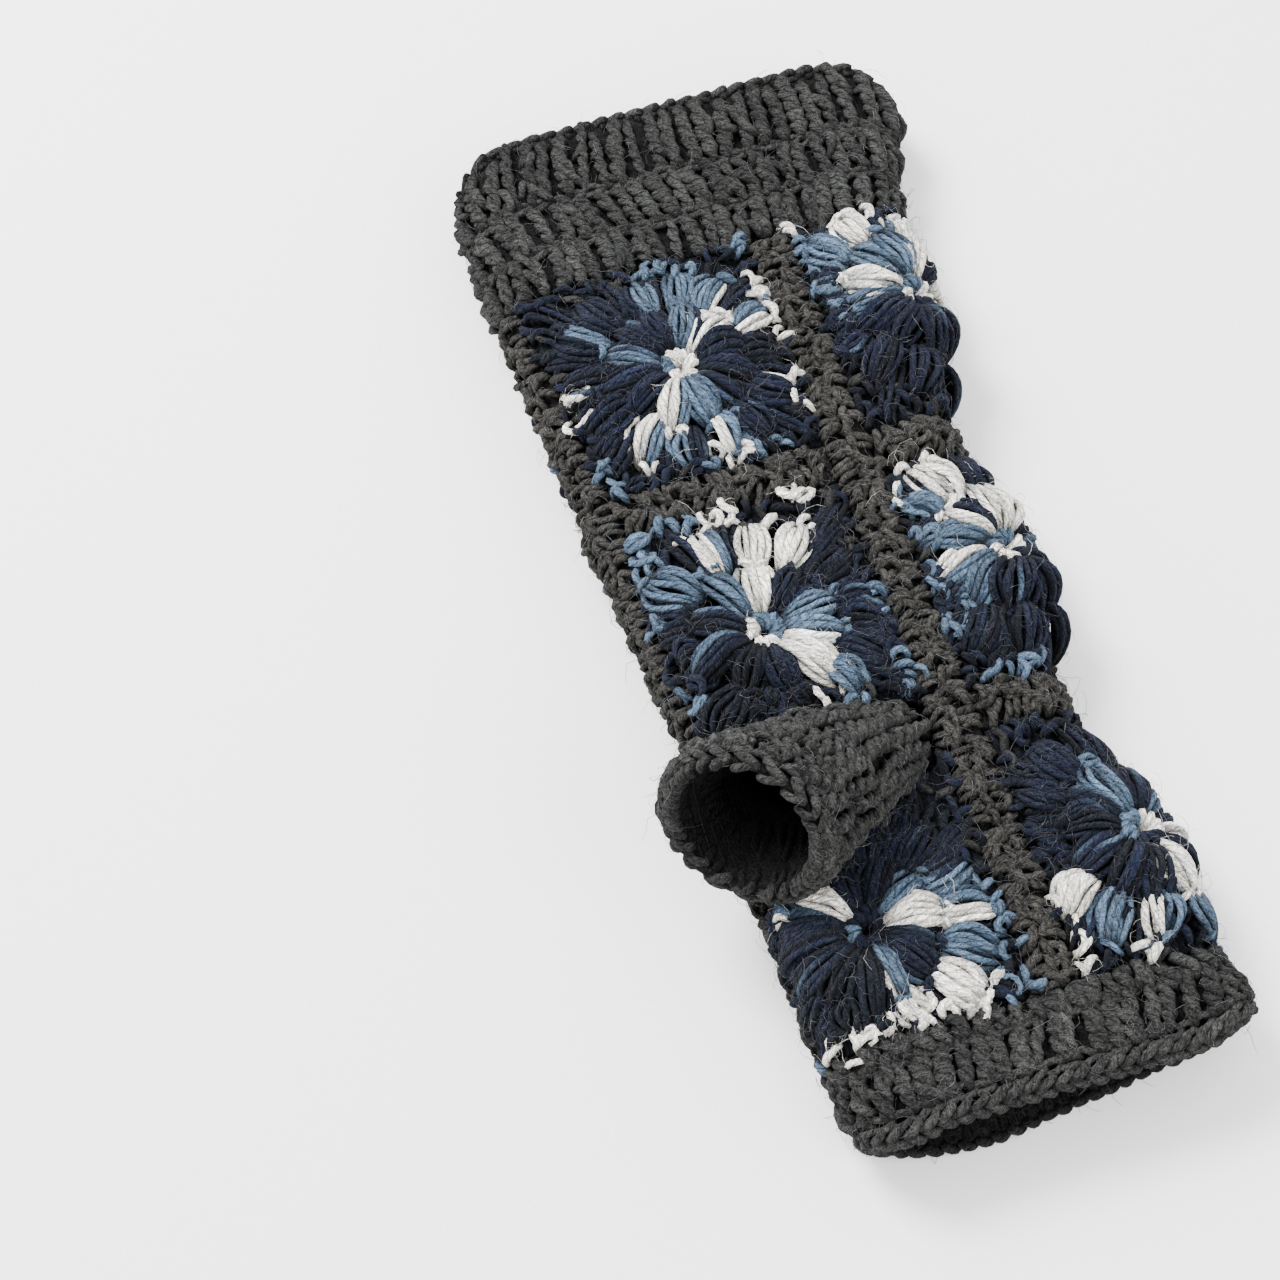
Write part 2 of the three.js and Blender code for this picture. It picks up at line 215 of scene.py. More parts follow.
def thumb_skin(phi, t, inset):
    """Point on the thumb tube, inset mm inside its outer skin."""
    girth = section(np.array(RINGS[0]))[4]
    width = girth * SHARE[0] / 2 - SEAM_HALF
    cq = np.sign(np.cos(phi)) * np.abs(np.cos(phi)) ** FOOT_SQUARE
    sq = np.sign(np.sin(phi)) * np.abs(np.sin(phi)) ** FOOT_SQUARE
    a = cq * (1 - (GAP * 2 + BASE_INSET + inset) / width)
    s = RINGS[0] + sq * (gape(a, sq) - GAP - BASE_INSET - inset)
    g = section(s)[4]
    w = SEAM_HALF / g
    u = (-SHARE[0] + w) + (SHARE[0] - 2 * w) * (a + 1) / 2
    foot, n = base(u, s)
    foot = foot - n * WALL
    d = np.stack([np.cos(phi), np.sin(phi), 0 * phi], -1)
    k = np.arctan2(d @ _short, d @ _long)
    rim = (
        RIM_CENTRE
        + _long * (np.cos(k) * (RIM_LONG - inset))[..., None]
        + _short * (np.sin(k) * (RIM_SHORT - inset))[..., None]
    )
    t = t[..., None]
    t2, t3 = t * t, t * t * t
    return (
        foot * (2 * t3 - 3 * t2 + 1)
        + n * ((t3 - 2 * t2 + t) * BASE_LIFT)
        + rim * (3 * t2 - 2 * t3)
        + _axis * ((t3 - t2) * RIM_LIFT)
    )


class Thumb:
    """The thumb tube. An anchor is (turns round, t from foot to rim)."""

    @staticmethod
    def place(u, s, x, y, h):
        shape = np.broadcast(u, s, x, y, h).shape
        u, s, x, y, h = (np.broadcast_to(v, shape).astype(float) for v in (u, s, x, y, h))
        phi = 2 * math.pi * u
        e = 2e-3
        zero = np.zeros(shape)
        along = (thumb_skin(phi, s + e, zero) - thumb_skin(phi, s - e, zero)) / (2 * e)
        t = s + y / np.maximum(np.linalg.norm(along, axis=-1), 15.0)
        tc = np.clip(t, 0.0, 1.0)
        around = (thumb_skin(phi + e, tc, zero) - thumb_skin(phi - e, tc, zero)) / (2 * e)
        phi2 = phi + x / np.clip(np.linalg.norm(around, axis=-1), 8.0, 30.0)
        p = thumb_skin(phi2, tc, zero)
        e2 = 0.03
        du = thumb_skin(phi2 + e2, tc, zero) - thumb_skin(phi2 - e2, tc, zero)
        dt = thumb_skin(phi2, tc + e, zero) - thumb_skin(phi2, tc - e, zero)
        n = unit(np.cross(du, dt))
        # outward is away from the tube's middle at this t
        mid = thumb_skin(phi2 + math.pi, tc, zero)
        n = n * np.sign(np.sum(n * (p - mid), -1, keepdims=True))
        over = (t - tc)[..., None]
        p = p + unit(dt) * over * np.linalg.norm(along, axis=-1, keepdims=True)
        return p + n * h[..., None], n


# ---------------------------------------------------------------------------------------
# colours (linear)
# ---------------------------------------------------------------------------------------
def lin(r, g, b):
    c = np.array([r, g, b]) / 255.0
    return np.where(c <= 0.04045, c / 12.92, ((c + 0.055) / 1.055) ** 2.4)


WOOL = {
    "W": lin(240, 236, 226),
    "B": lin(72, 90, 110),
    "N": lin(15, 20, 36),
    "D": lin(10, 13, 21),
    "C": lin(38, 39, 38),
    "S": lin(42, 41, 39),
    # G and K are the charcoal yarn darkened as painted shade: G for the insides and the cloth under the stitches, K
    # nearly black for the inside of the thumb
    "G": lin(17, 17, 17),
    "K": lin(3, 3, 3),
}


def tone(names, spread=0.1):
    """One colour per letter, each a little lighter or darker than its yarn."""
    c = np.array([WOOL[n] for n in names])
    return c * np.exp(rng.normal(0, spread, (len(names), 1)))


# ---------------------------------------------------------------------------------------
# meshes
# ---------------------------------------------------------------------------------------
class Cloth:
    """Collects closed yarn tubes and cloth shells, then makes one mesh object."""

    def __init__(self):
        self.co, self.col, self.yarn = [], [], []
        self.quads, self.quad_uv = [], []
        self.caps = []
        self.count = 0
        self.roots = []  # places on the yarn's outer side where loose fibres may start

    def tubes(self, p, hint, radius, colour, sides=6, floor=0.1, out=None, crease_shade=0.5, roots=True):
        """p (n,k,3), hint (n,k,3) or (n,1,3), radius (n,k), colour (n,3) or (n,k,3)."""
        n, k = p.shape[:2]
        t = unit(np.gradient(p, axis=1))
        hint = np.broadcast_to(hint, p.shape)
        e1 = hint - np.sum(hint * t, -1, keepdims=True) * t
        e1 = unit(e1)
        e2 = np.cross(t, e1)
        th = np.arange(sides) * (2 * math.pi / sides)
        c, s = np.cos(th), np.sin(th)
        spoke = c[:, None] * e1[:, :, None, :] + s[:, None] * e2[:, :, None, :]
        ring = p[:, :, None, :] + radius[:, :, None, None] * spoke
        ring[..., 2] = np.maximum(ring[..., 2], floor)
        seg = np.linalg.norm(np.diff(p, axis=1), axis=-1)
        length = np.concatenate([np.zeros((n, 1)), np.cumsum(seg, 1)], 1)
        seed = rng.uniform(0, 900, (n, 1))
        turn = seed
        yarn = np.stack(
            [
                np.broadcast_to((length + seed)[:, :, None], (n, k, sides)),
                np.cos(th[None, None, :] + turn[:, :, None] + 0 * length[:, :, None]),
                np.sin(th[None, None, :] + turn[:, :, None] + 0 * length[:, :, None]),
            ],
            -1,
        )
        colour = np.broadcast_to(
            colour[:, None, None, :] if colour.ndim == 2 else colour[:, :, None, :],
            (n, k, sides, 3),
        )
        out = np.broadcast_to(hint if out is None else out, p.shape)
        # painted shade: the colour is darkened on the strand's side that turns away from out, and towards its pinched
        # ends
        facing = np.sum(spoke * out[:, :, None, :], -1)
        pale = crease_shade * (1 - 0.42 * colour.mean(-1) ** 0.6)  # light shows through pale wool
        underside_shade = 1 - pale * (1 - smooth((facing + 0.4) / 1.25))
        tt = np.linspace(0, 1, k)
        pinch_shade = 1 - 0.6 * pale * (1 - smooth(np.minimum(tt, 1 - tt) / 0.22))[None, :, None]
        colour = colour * (underside_shade * pinch_shade)[..., None]
        first = self.count
        index = first + np.arange(n * k * sides).reshape(n, k, sides)
        nxt = np.roll(index, -1, axis=2)
        quads = np.stack([index[:, :-1], nxt[:, :-1], nxt[:, 1:], index[:, 1:]], -1)
        self.co.append(ring.reshape(-1, 3))
        self.col.append(colour.reshape(-1, 3))
        self.yarn.append(yarn.reshape(-1, 3))
        self.quads.append(quads.reshape(-1, 4))
        self.quad_uv.append(("tubes", n, k, sides))
        self.caps.append((index[:, 0, ::-1].reshape(n, sides), index[:, -1].reshape(n, sides)))
        self.count += n * k * sides
        if roots:
            o = out[:, 1:-1]
            o = unit(o - np.sum(o * t[:, 1:-1], -1, keepdims=True) * t[:, 1:-1])
            at = p[:, 1:-1] + o * radius[:, 1:-1, None] * 0.85
            # loose hairs take the strand's colour, painted shade included, from its lightest side
            dye = np.broadcast_to(colour[:, 1:-1, :, :].max(2), at.shape)
            self.roots.append((at.reshape(-1, 3), o.reshape(-1, 3), dye.reshape(-1, 3)))

    def fuzz(self, count, long=4.6, up=0.42, thick=0.06, k=5):
        """Loose wool fibres: thin curly hairs that start in the yarn and lie over it."""
        if not count or not self.roots:
            return
        at, out, dye = (np.concatenate(v) for v in zip(*self.roots))
        pick = rng.integers(0, len(at), count)
        at, out, dye = at[pick], out[pick], dye[pick]
        t1 = unit(np.cross(out, rng.normal(0, 1, (count, 3))))
        t2 = np.cross(out, t1)
        length = long * np.exp(rng.normal(0, 0.42, (count, 1)))
        step = length / (k - 1)
        bend = rng.normal(0, 0.42, (count, 1)) * step + rng.normal(0, 0.32, (count, k - 1))
        az = np.cumsum(bend, 1)
        tt = np.linspace(0, 1, k - 1)[None, :]
        el = up * np.exp(rng.normal(0, 0.5, (count, 1))) * (1 - 1.55 * tt) + rng.normal(0, 0.16, (count, k - 1))
        d = (
            np.cos(el)[..., None] * (np.cos(az)[..., None] * t1[:, None] + np.sin(az)[..., None] * t2[:, None])
            + np.sin(el)[..., None] * out[:, None]
        )
        start = at - out * 0.15
        p = np.concatenate([start[:, None], start[:, None] + np.cumsum(d * step[..., None], 1)], 1)
        radius = thick * np.exp(rng.normal(0, 0.22, (count, 1))) * np.array(
            [1.0] * (k - 2) + [0.85, 0.45]
        )[None, :]
        p[..., 2] = np.maximum(p[..., 2], 0.25)
        shine = dye * 0.75 + np.array([0.085, 0.088, 0.096]) * np.exp(rng.normal(0, 0.3, (count, 1)))
        self.tubes(p, out[:, None], radius, shine, sides=3, crease_shade=0.0, roots=False)

    def shell(self, outer, inner, closed, outer_colour, inner_colour):
        """Grids (ni,nj,3) that share their edges' order."""
        ni, nj = outer.shape[:2]
        first = self.count
        pts = np.concatenate([outer.reshape(-1, 3), inner.reshape(-1, 3)])
        pts[:, 2] = np.maximum(pts[:, 2], 0.15)
        a = first + np.arange(ni * nj).reshape(ni, nj)
        b = a + ni * nj
        if closed:
            a = np.concatenate([a, a[:1]])
            b = np.concatenate([b, b[:1]])

        def face(i00, i01, i11, i10):
            return np.stack([i00, i01, i11, i10], -1).reshape(-1, 4)

        top = face(a[:-1, :-1], a[:-1, 1:], a[1:, 1:], a[1:, :-1])
        low = face(b[:-1, :-1], b[1:, :-1], b[1:, 1:], b[:-1, 1:])
        side = [
            face(a[:-1, 0], a[1:, 0], b[1:, 0], b[:-1, 0]),
            face(a[:-1, -1], b[:-1, -1], b[1:, -1], a[1:, -1]),
        ]
        if not closed:
            side += [
                face(a[0, :-1], b[0, :-1], b[0, 1:], a[0, 1:]),
                face(a[-1, :-1], a[-1, 1:], b[-1, 1:], b[-1, :-1]),
            ]
        side = np.concatenate(side)
        local = np.concatenate([top, low, side]) - first
        # turn the faces outwards
        v = pts[local]
        centre = pts.mean(0)
        vol = np.sum((v[:, 0] - centre) * np.cross(v[:, 1] - centre, v[:, 2] - centre)) + np.sum(
            (v[:, 0] - centre) * np.cross(v[:, 2] - centre, v[:, 3] - centre)
        )
        flip = vol < 0
        if flip:
            local = local[:, ::-1]
        self.co.append(pts)
        col = np.concatenate(
            [
                np.broadcast_to(outer_colour, (ni * nj, 3)),
                np.broadcast_to(inner_colour, (ni * nj, 3)),
            ]
        )
        self.col.append(col)
        yarn = pts * 0.9 + 37.0
        self.yarn.append(yarn)
        self.quads.append(local + first)
        self.quad_uv.append(("shell", ni, nj, closed, flip, len(top), len(low), len(side)))
        self.count += 2 * ni * nj

    def bake_map(self):
        """Corner coordinates of every quad and cap, each strand in a strip of its own."""
        strips = sum(
            e[1] * (e[2] - 1 + 1.6) * (e[3] + 0.7) for e in self.quad_uv if e[0] == "tubes"
        )
        shells = sum(2 * e[1] * e[2] for e in self.quad_uv if e[0] == "shell")
        side = max(40.0, math.sqrt(strips + shells * 1.3 + 400) * 1.04)
        y = 0.0
        quads, caps = [], []
        for e in self.quad_uv:
            if e[0] == "shell":
                _, ni, nj, closed, flip, n_top, n_low, n_side = e
                mi = ni if closed else ni - 1
                w = side / 2 - 1.0
                hgt = max(2.0, (mi * (nj - 1)) / w)
                i, j = np.meshgrid(np.arange(mi), np.arange(nj - 1), indexing="ij")
                across, up = w / max(mi, nj - 1), hgt / min(mi, nj - 1)
                if mi < nj - 1:
                    across, up = up, across
                corner = np.stack(
                    [
                        np.stack([i, j], -1),
                        np.stack([i, j + 1], -1),
                        np.stack([i + 1, j + 1], -1),
                        np.stack([i + 1, j], -1),
                    ],
                    2,
                ).astype(float)
                corner = corner * [across, up]
                if mi < nj - 1:
                    corner = corner[..., ::-1]
                top = corner.reshape(-1, 4, 2)
                low = top[:, [0, 3, 2, 1]] + [side / 2, 0]
                edge = np.tile(
                    np.array([[0.0, 0.0], [0.0, 0.5], [0.5, 0.5], [0.5, 0.0]]), (n_side, 1, 1)
                )
                edge = edge + np.stack(
                    [np.arange(n_side) * (side - 2) / max(n_side, 1), np.full(n_side, hgt + 0.5)],
                    -1,
                )[:, None, :]
                both = np.concatenate([top, low, edge])
                if flip:
                    both = both[:, ::-1]
                quads.append(both + [0.0, y])
                y += hgt + 1.6
            else:
                _, n, k, sides = e
                w, hgt = k - 1 + 1.6, sides + 0.7
                per = max(1, int((side - 0.5) // w))
                cell = np.arange(n)
                ox = (cell % per) * w
                oy = y + (cell // per) * hgt
                i, j = np.meshgrid(np.arange(k - 1), np.arange(sides), indexing="ij")
                q = np.stack(
                    [
                        np.stack([i, j], -1),
                        np.stack([i, j + 1], -1),
                        np.stack([i + 1, j + 1], -1),
                        np.stack([i + 1, j], -1),
                    ],
                    2,
                ).reshape(-1, 4, 2)
                off = np.stack([ox, oy], -1)
                quads.append((q[None] + off[:, None, None, :]).reshape(-1, 4, 2))
                ang = np.arange(sides) * (2 * math.pi / sides)
                ring = 0.28 * np.stack([np.cos(ang), np.sin(ang)], -1)
                for end, at in ((0, 1.0), (1, 3.0)):
                    caps.append(ring[None] + off[:, None, :] + [k - 1 + 0.7, at])
                y += math.ceil(n / per) * hgt
        scale = 1.0 / max(side, y + 0.5)
        return (
            np.concatenate(quads) * scale + 0.5 * scale,
            [c * scale + 0.5 * scale for c in caps],
        )

    def build(self, name, material):
        co = (np.concatenate(self.co) - ORIGIN) * 0.001
        quads = np.concatenate(self.quads)
        quad_uv, cap_uv = self.bake_map()
        cap_faces = []
        for a, b in self.caps:
            cap_faces += [a, b]
        # a run of faces: quads, then the end caps of each batch
        loops = [quads.reshape(-1)]
        total = [np.full(len(quads), 4)]
        uv = [quad_uv.reshape(-1, 2)]
        for f, w in zip(cap_faces, cap_uv):
            loops.append(f.reshape(-1))
            total.append(np.full(len(f), f.shape[1]))
            uv.append(w.reshape(-1, 2))
        loops, total, uv = np.concatenate(loops), np.concatenate(total), np.concatenate(uv)
        me = bpy.data.meshes.new(name)
        me.vertices.add(len(co))
        me.vertices.foreach_set("co", co.astype(np.float32).ravel())
        me.loops.add(len(loops))
        me.loops.foreach_set("vertex_index", loops.astype(np.int32))
        me.polygons.add(len(total))
        start = np.concatenate([[0], np.cumsum(total)[:-1]])
        me.polygons.foreach_set("loop_start", start.astype(np.int32))
        me.polygons.foreach_set("loop_total", total.astype(np.int32))
        me.polygons.foreach_set("use_smooth", np.ones(len(total), bool))
        layer = me.uv_layers.new(name="OFBake", do_init=False)
        layer.uv.foreach_set("vector", uv.astype(np.float32).ravel())
        col = np.concatenate(self.col)
        col = np.concatenate([col, np.ones((len(col), 1))], 1)
        # the colour attribute holds the yarn colours with the painted shade of creases, pinched ends, puff sides and
        # insides multiplied in
        attr = me.color_attributes.new("dye", "FLOAT_COLOR", "POINT")
        attr.data.foreach_set("color", np.clip(col, 0, 1).astype(np.float32).ravel())
        attr = me.attributes.new("yarn", "FLOAT_VECTOR", "POINT")
        attr.data.foreach_set("vector", np.concatenate(self.yarn).astype(np.float32).ravel())
        me.update()
        me.validate()
        me.materials.append(material)
        ob = bpy.data.objects.new(name, me)
        bpy.context.scene.collection.objects.link(ob)
        self.triangles = int(2 * len(quads) + sum(len(f) * (f.shape[1] - 2) for f in cap_faces))
        return ob


def spline(ctrl, k):
    """Catmull-Rom curve through ctrl (n,m,d), resampled to k points."""
    n, m, d = ctrl.shape
    pad = np.concatenate(
        [2 * ctrl[:, :1] - ctrl[:, 1:2], ctrl, 2 * ctrl[:, -1:] - ctrl[:, -2:-1]], 1
    )
    t = np.linspace(0, m - 1, k)
    i = np.clip(t.astype(int), 0, m - 2)
    f = (t - i)[None, :, None]
    p0, p1, p2, p3 = pad[:, i], pad[:, i + 1], pad[:, i + 2], pad[:, i + 3]
    return 0.5 * (
        2 * p1
        + (p2 - p0) * f
        + (2 * p0 - 5 * p1 + 4 * p2 - p3) * f**2
        + (3 * p1 - p0 - 3 * p2 + p3) * f**3
    )


def taper(k, ends=0.6):
    t = np.linspace(0, 1, k)
    return ends + (1 - ends) * np.sin(math.pi * np.clip(t, 0, 1)) ** 0.45


def lay(cloth, surface, u, s, ctrl, radius, colour, k=9, sides=6, wobble=0.15, ends=0.7, vary=0.07, crease_shade=0.88, roots=True):
    """Lays strands on a surface. ctrl (m,3) or (n,m,3) holds mm across, along and out."""
    n = len(u)
    ctrl = np.array(ctrl, float)
    if ctrl.ndim == 2:
        ctrl = np.broadcast_to(ctrl, (n,) + ctrl.shape)
    ctrl = ctrl + rng.normal(0, wobble, ctrl.shape)
    path = spline(ctrl, k)
    p, normal = surface.place(
        u[:, None], s[:, None], path[..., 0], path[..., 1], path[..., 2]
    )
    r = radius * taper(k, ends)[None, :] * np.exp(rng.normal(0, vary, (n, 1)))
    p[..., 2] = np.maximum(p[..., 2], r * 0.9 + 0.1)
    cloth.tubes(p, normal, r, colour, sides=sides, crease_shade=crease_shade, roots=roots)
    return p


# ---------------------------------------------------------------------------------------
# crochet stitches
# ---------------------------------------------------------------------------------------
def posts(cloth, surface, u, s, tall, colour="C", lean=0.0, jitter=0.3, thick=1.0, low=0.9, bulge=1.1, ropes=1.0):
    """Tall stitches: each is two strands that twist round each other and lean a little."""
    n = len(u)
    k = 11 if np.max(tall) > 10 else 9
    t = np.linspace(0, 1, k)[None, :]
    tall = tall * np.exp(rng.normal(0, 0.05, (n, 1)))
    lean = lean + rng.normal(0, 1.3, (n, 1))
    bow = rng.normal(0, 0.45, (n, 1))
    shift = rng.normal(0, jitter, (n, 1))
    phase = rng.uniform(0, 2 * math.pi, (n, 1))
    turns = ropes * (tall / 11.0) * rng.normal(1.5, 0.22, (n, 1))
    swell = np.exp(rng.normal(0, 0.12, (n, 1)))
    shade = tone([colour] * n, 0.19)
    for j in (0, 1):
        ang = phase + j * math.pi + 2 * math.pi * turns * t
        env = np.sin(math.pi * np.clip(t, 0, 1)) ** 0.35
        x = shift + lean * (t - 0.4) + bow * np.sin(math.pi * t) + 1.12 * swell * np.cos(ang) * (0.45 + 0.55 * env)
        h = low + bulge * env + 0.95 * np.sin(ang) * (0.35 + 0.65 * env)
        y = -0.9 + (tall + 1.9) * t + rng.normal(0, 0.15, (n, k))
        p, normal = surface.place(u[:, None], s[:, None], x, y, h)
        r = 1.36 * thick * swell * (0.74 + 0.26 * env) * np.exp(rng.normal(0, 0.05, (n, 1)))
        p[..., 2] = np.maximum(p[..., 2], r * 0.9 + 0.1)
        cloth.tubes(p, normal, r, shade * np.exp(rng.normal(0, 0.05, (n, 1))), sides=6, crease_shade=0.97)
    # the yarn-over that crosses the post
    c = np.array([(-1.9, 0.5, 0.4), (-0.9, 1.0, 2.2), (0.8, 2.2, 2.5), (1.9, 3.4, 0.9)])
    c = np.broadcast_to(c, (n, 4, 3)).copy()
    c[..., 1] += tall * rng.uniform(0.35, 0.72, (n, 1)) - 1.5
    c[..., 0] += shift + bow * 0.8
    c[..., 2] += low - 0.9
    pick = rng.uniform(0, 1, n) < 0.7
    if pick.any():
        lay(cloth, surface, u[pick], s[pick], c[pick], 0.92 * thick, shade[pick], k=7, sides=5, wobble=0.22)


def inner_posts(cloth, surface, u, s, tall, colour="G", depth=WALL):
    """The stitches as they show on the inside."""
    n = len(u)
    for side in (-1, 1):
        c = np.array([(side * 1.2, -0.6, 0.3), (side * 1.5, 0.4 * tall, 1.3), (side * 0.5, tall, 0.7), (side * 0.2, tall + 0.8, -0.1)])
        c = np.broadcast_to(c, (n, 4, 3)).copy()
        c[..., 2] = -depth + 0.3 - c[..., 2] * 0.55
        # painted shade: the inside stitches are in the darkened G or K
        lay(cloth, surface, u, s, c, 1.15, tone([colour] * n, 0.16), k=5, sides=5, wobble=0.16, roots=False)


def chain(cloth, surface, u, s, step, colour="C", wide=1.25, out=(0.3, 1.5), thick=1.0, wobble=0.2):
    """A row of chain stitches: each is a pair of legs that end inside the next one."""
    n = len(u)
    lo, hi = out
    for side in (-1, 1):
        pts = np.array(
            [
                (0.0, side * 0.15 * wide, lo),
                (0.35 * step, side * wide, hi * 0.9),
                (0.85 * step, side * wide * 0.85, hi),
                (1.35 * step, side * 0.1 * wide, lo + 0.25 * (hi - lo)),
            ]
        )
        lay(cloth, surface, u, s, pts, 1.0 * thick, tone([colour] * n, 0.14), k=7, wobble=wobble)


def braid(cloth, surface, u, s, step, outward, lateral, thick=1.0, colour="C", past=0.5, wide=1.35, crease_shade=0.88):
    """The last chain on a rim: slanting legs in two rows, each tucked under the next, so
    that the rim is a plait. lateral (along, out) is the way across the plait."""
    n = len(u)
    ly, lh = lateral
    fy, fh = -lh * outward, ly * outward  # the way the plait faces
    if fy * outward < 0:
        fy, fh = -fy, -fh
    for side in (-1, 1):
        rows = []
        for x, across, face in (
            (-0.3 * step, -0.15, -0.8),
            (0.05 * step, 0.35, 0.7),
            (0.42 * step, 1.0, 1.0),
            (0.8 * step, 1.6, 0.2),
            (1.0 * step, 1.6, -1.0),
        ):
            rows.append(
                (
                    x,
                    outward * past + side * across * wide * ly + face * fy,
                    side * across * wide * lh + face * fh,
                )
            )
        lay(cloth, surface, u, s, np.array(rows), 1.12 * thick, tone([colour] * n, 0.13), k=8, wobble=0.16, ends=0.75, crease_shade=crease_shade)


def tangle(cloth, spots, colour="S", thick=1.0, sides=6):
    """Short bent strands in every direction, as where two edges are crocheted together.
    spots is a list of (surface, u, s, x, y, h, angle, length, arch)."""
    n = len(spots)
    if not n:
        return
    surface = spots[0][0]
    u, s, x, y, h, ang, length, arch = (np.array([q[i] for q in spots], float) for i in range(1, 9))
    tt = np.array([-0.5, -0.3, 0.0, 0.3, 0.5])
    c, t = np.cos(ang)[:, None], np.sin(ang)[:, None]
    bend = rng.normal(0, 0.9, (n, 1)) * (1 - (2 * tt) ** 2)
    lx = length[:, None] * tt
    ctrl = np.stack(
        [
            x[:, None] + lx * c - bend * t,
            y[:, None] + lx * t + bend * c,
            h[:, None] + arch[:, None] * np.array([-0.9, 0.35, 1.0, 0.35, -0.9]) * 0.9,
        ],
        -1,
    )
    names = [colour] * n if len(colour) == 1 else list(colour)
    lay(cloth, surface, u, s, ctrl, 1.12 * thick, tone(names, 0.17), k=7, sides=sides, wobble=0.2, vary=0.12, crease_shade=0.95)


# ---------------------------------------------------------------------------------------
# flowers
# ---------------------------------------------------------------------------------------
# the shade that a strand may run into, and how often
RUNS = {"W": ("B", 0.14), "B": ("N", 0.42), "N": ("B", 0.12), "D": ("N", 0.4)}
dye_rng = np.random.default_rng(11)


def petals(cloth, centre_u, centre_s, rows, flat=None, fine=True):
    """Puff stitches. rows: angle (deg), r0, r1, width, height, letters (one a strand, clockwise
    side first), base height, fan (0 pinched outer end, 1 open), curl (sideways bend in mm)."""
    for ang, r0, r1, width, high, letters, low, fan, curl in rows:
        n = len(letters)
        v = (np.arange(n) + 0.5) / n * 2 - 1
        span = r1 - r0
        for layer, (drop, squeeze, names) in enumerate(
            ((0.0, 1.0, letters), (1.9, 0.66, letters[::2]))
        ):
            if layer and not fine:
                continue
            k = (11 if fine else 9) if layer == 0 else 7
            t = np.linspace(0, 1, k)
            m = len(names)
            vv = (np.arange(m) + 0.5) / m * 2 - 1 if layer else v
            vv = vv * squeeze + rng.normal(0, 0.07, m)
            end_in = 0.26
            end_out = 0.30 + 0.5 * fan
            shape = np.where(
                t < 0.58,
                end_in + (1 - end_in) * np.sin(math.pi / 2 * t / 0.58) ** 0.9,
                end_out + (1 - end_out) * np.maximum(np.cos(math.pi / 2 * (t - 0.58) / 0.42), 0) ** 0.75,
            )
            lift = np.sin(math.pi * t**0.92) ** 0.6
            dome = np.sqrt(np.maximum(1 - (0.94 * vv) ** 2, 0.04))
            wave = 0.34 * np.sin(
                2 * math.pi * (t[None, :] * rng.uniform(0.5, 1.5, (m, 1)) + rng.uniform(0, 1, (m, 1)))
            )
            body = np.sin(math.pi * t)[None, :]
            y = vv[:, None] * width / 2 * shape[None, :] + wave * body
            y = y + curl * body
            r = r0 + span * t[None, :] + rng.normal(0, 0.4, (m, 1))
            h = (
                low
                + (high - low) * lift[None, :] * (0.30 + 0.70 * dome[:, None])
                - drop
                + rng.normal(0, 0.26, (m, 1)) * body
            )
            a = math.radians(ang)
            x_mm = r * math.cos(a) - y * math.sin(a)
            y_mm = r * math.sin(a) + y * math.cos(a)
            if flat is not None:
                h = h * flat(x_mm, y_mm)
            p, normal = Tube.place(centre_u, centre_s, x_mm, y_mm, h)
            rad = (0.58 + 0.36 * np.sin(math.pi * t) ** 0.55)[None, :] * np.exp(
                rng.normal(0, 0.1, (m, 1))
            )
            if layer:
                rad = rad * 1.15
            p[..., 2] = np.maximum(p[..., 2], rad * 0.8 + 0.1)
            chord = p[:, -1:] - p[:, :1]
            side = unit(np.cross(chord, normal[:, k // 2 : k // 2 + 1]))
            sides = (6 if fine else 5) if layer == 0 else 4
            # strands at a puff's sides and ends lie in its own shade
            shade = (0.62 + 0.38 * dome)[:, None] * (0.62 + 0.38 * smooth(np.minimum(t / 0.3, (1 - t) / 0.22).clip(0, 1)))[None, :]
            # some strands run into the next shade of the yarn towards one end
            runs = dye_rng.uniform(0, 1, (3, m))
            odds = np.array([RUNS[q][1] for q in names])
            amount = np.where(runs[0] < odds, 0.35 + 0.6 * runs[1], 0.0)[:, None]
            along = np.where(runs[2][:, None] < 0.65, t[None, :], 1 - t[None, :])
            into = np.array([WOOL[RUNS[q][0]] / WOOL[q] for q in names])[:, None, :]
            mixed = 1 + (into - 1) * (amount * smooth(((along - 0.3) / 0.55).clip(0, 1)))[..., None]
            colour = tone(names, 0.19)[:, None, :] * mixed * shade[..., None]
            cloth.tubes(p, side, rad, colour, sides=sides, out=normal, crease_shade=0.92 if layer == 0 else 0.95, roots=layer == 0)


def ring(cloth, centre_u, centre_s, letters):
    """The small ring in the flower's middle: yarn wrapped over a loop."""
    n = len(letters)
    a = np.arange(n) / n * 2 * math.pi + rng.normal(0, 0.06, n)
    ctrl = []
    for ang in a:
        rows = []
        for r, h, sl in ((1.7, 0.4, 0.0), (2.2, 3.0, 0.2), (3.6, 4.6, 0.45), (5.2, 4.0, 0.7), (6.2, 1.6, 0.8)):
            ca, sa = math.cos(ang + sl * 0.5), math.sin(ang + sl * 0.5)
            rows.append((r * ca, r * sa, h))
        ctrl.append(rows)
    one = np.ones(n)
    lay(cloth, Tube, centre_u * one, centre_s * one, ctrl, 1.16, tone(letters, 0.1), k=9, wobble=0.2)


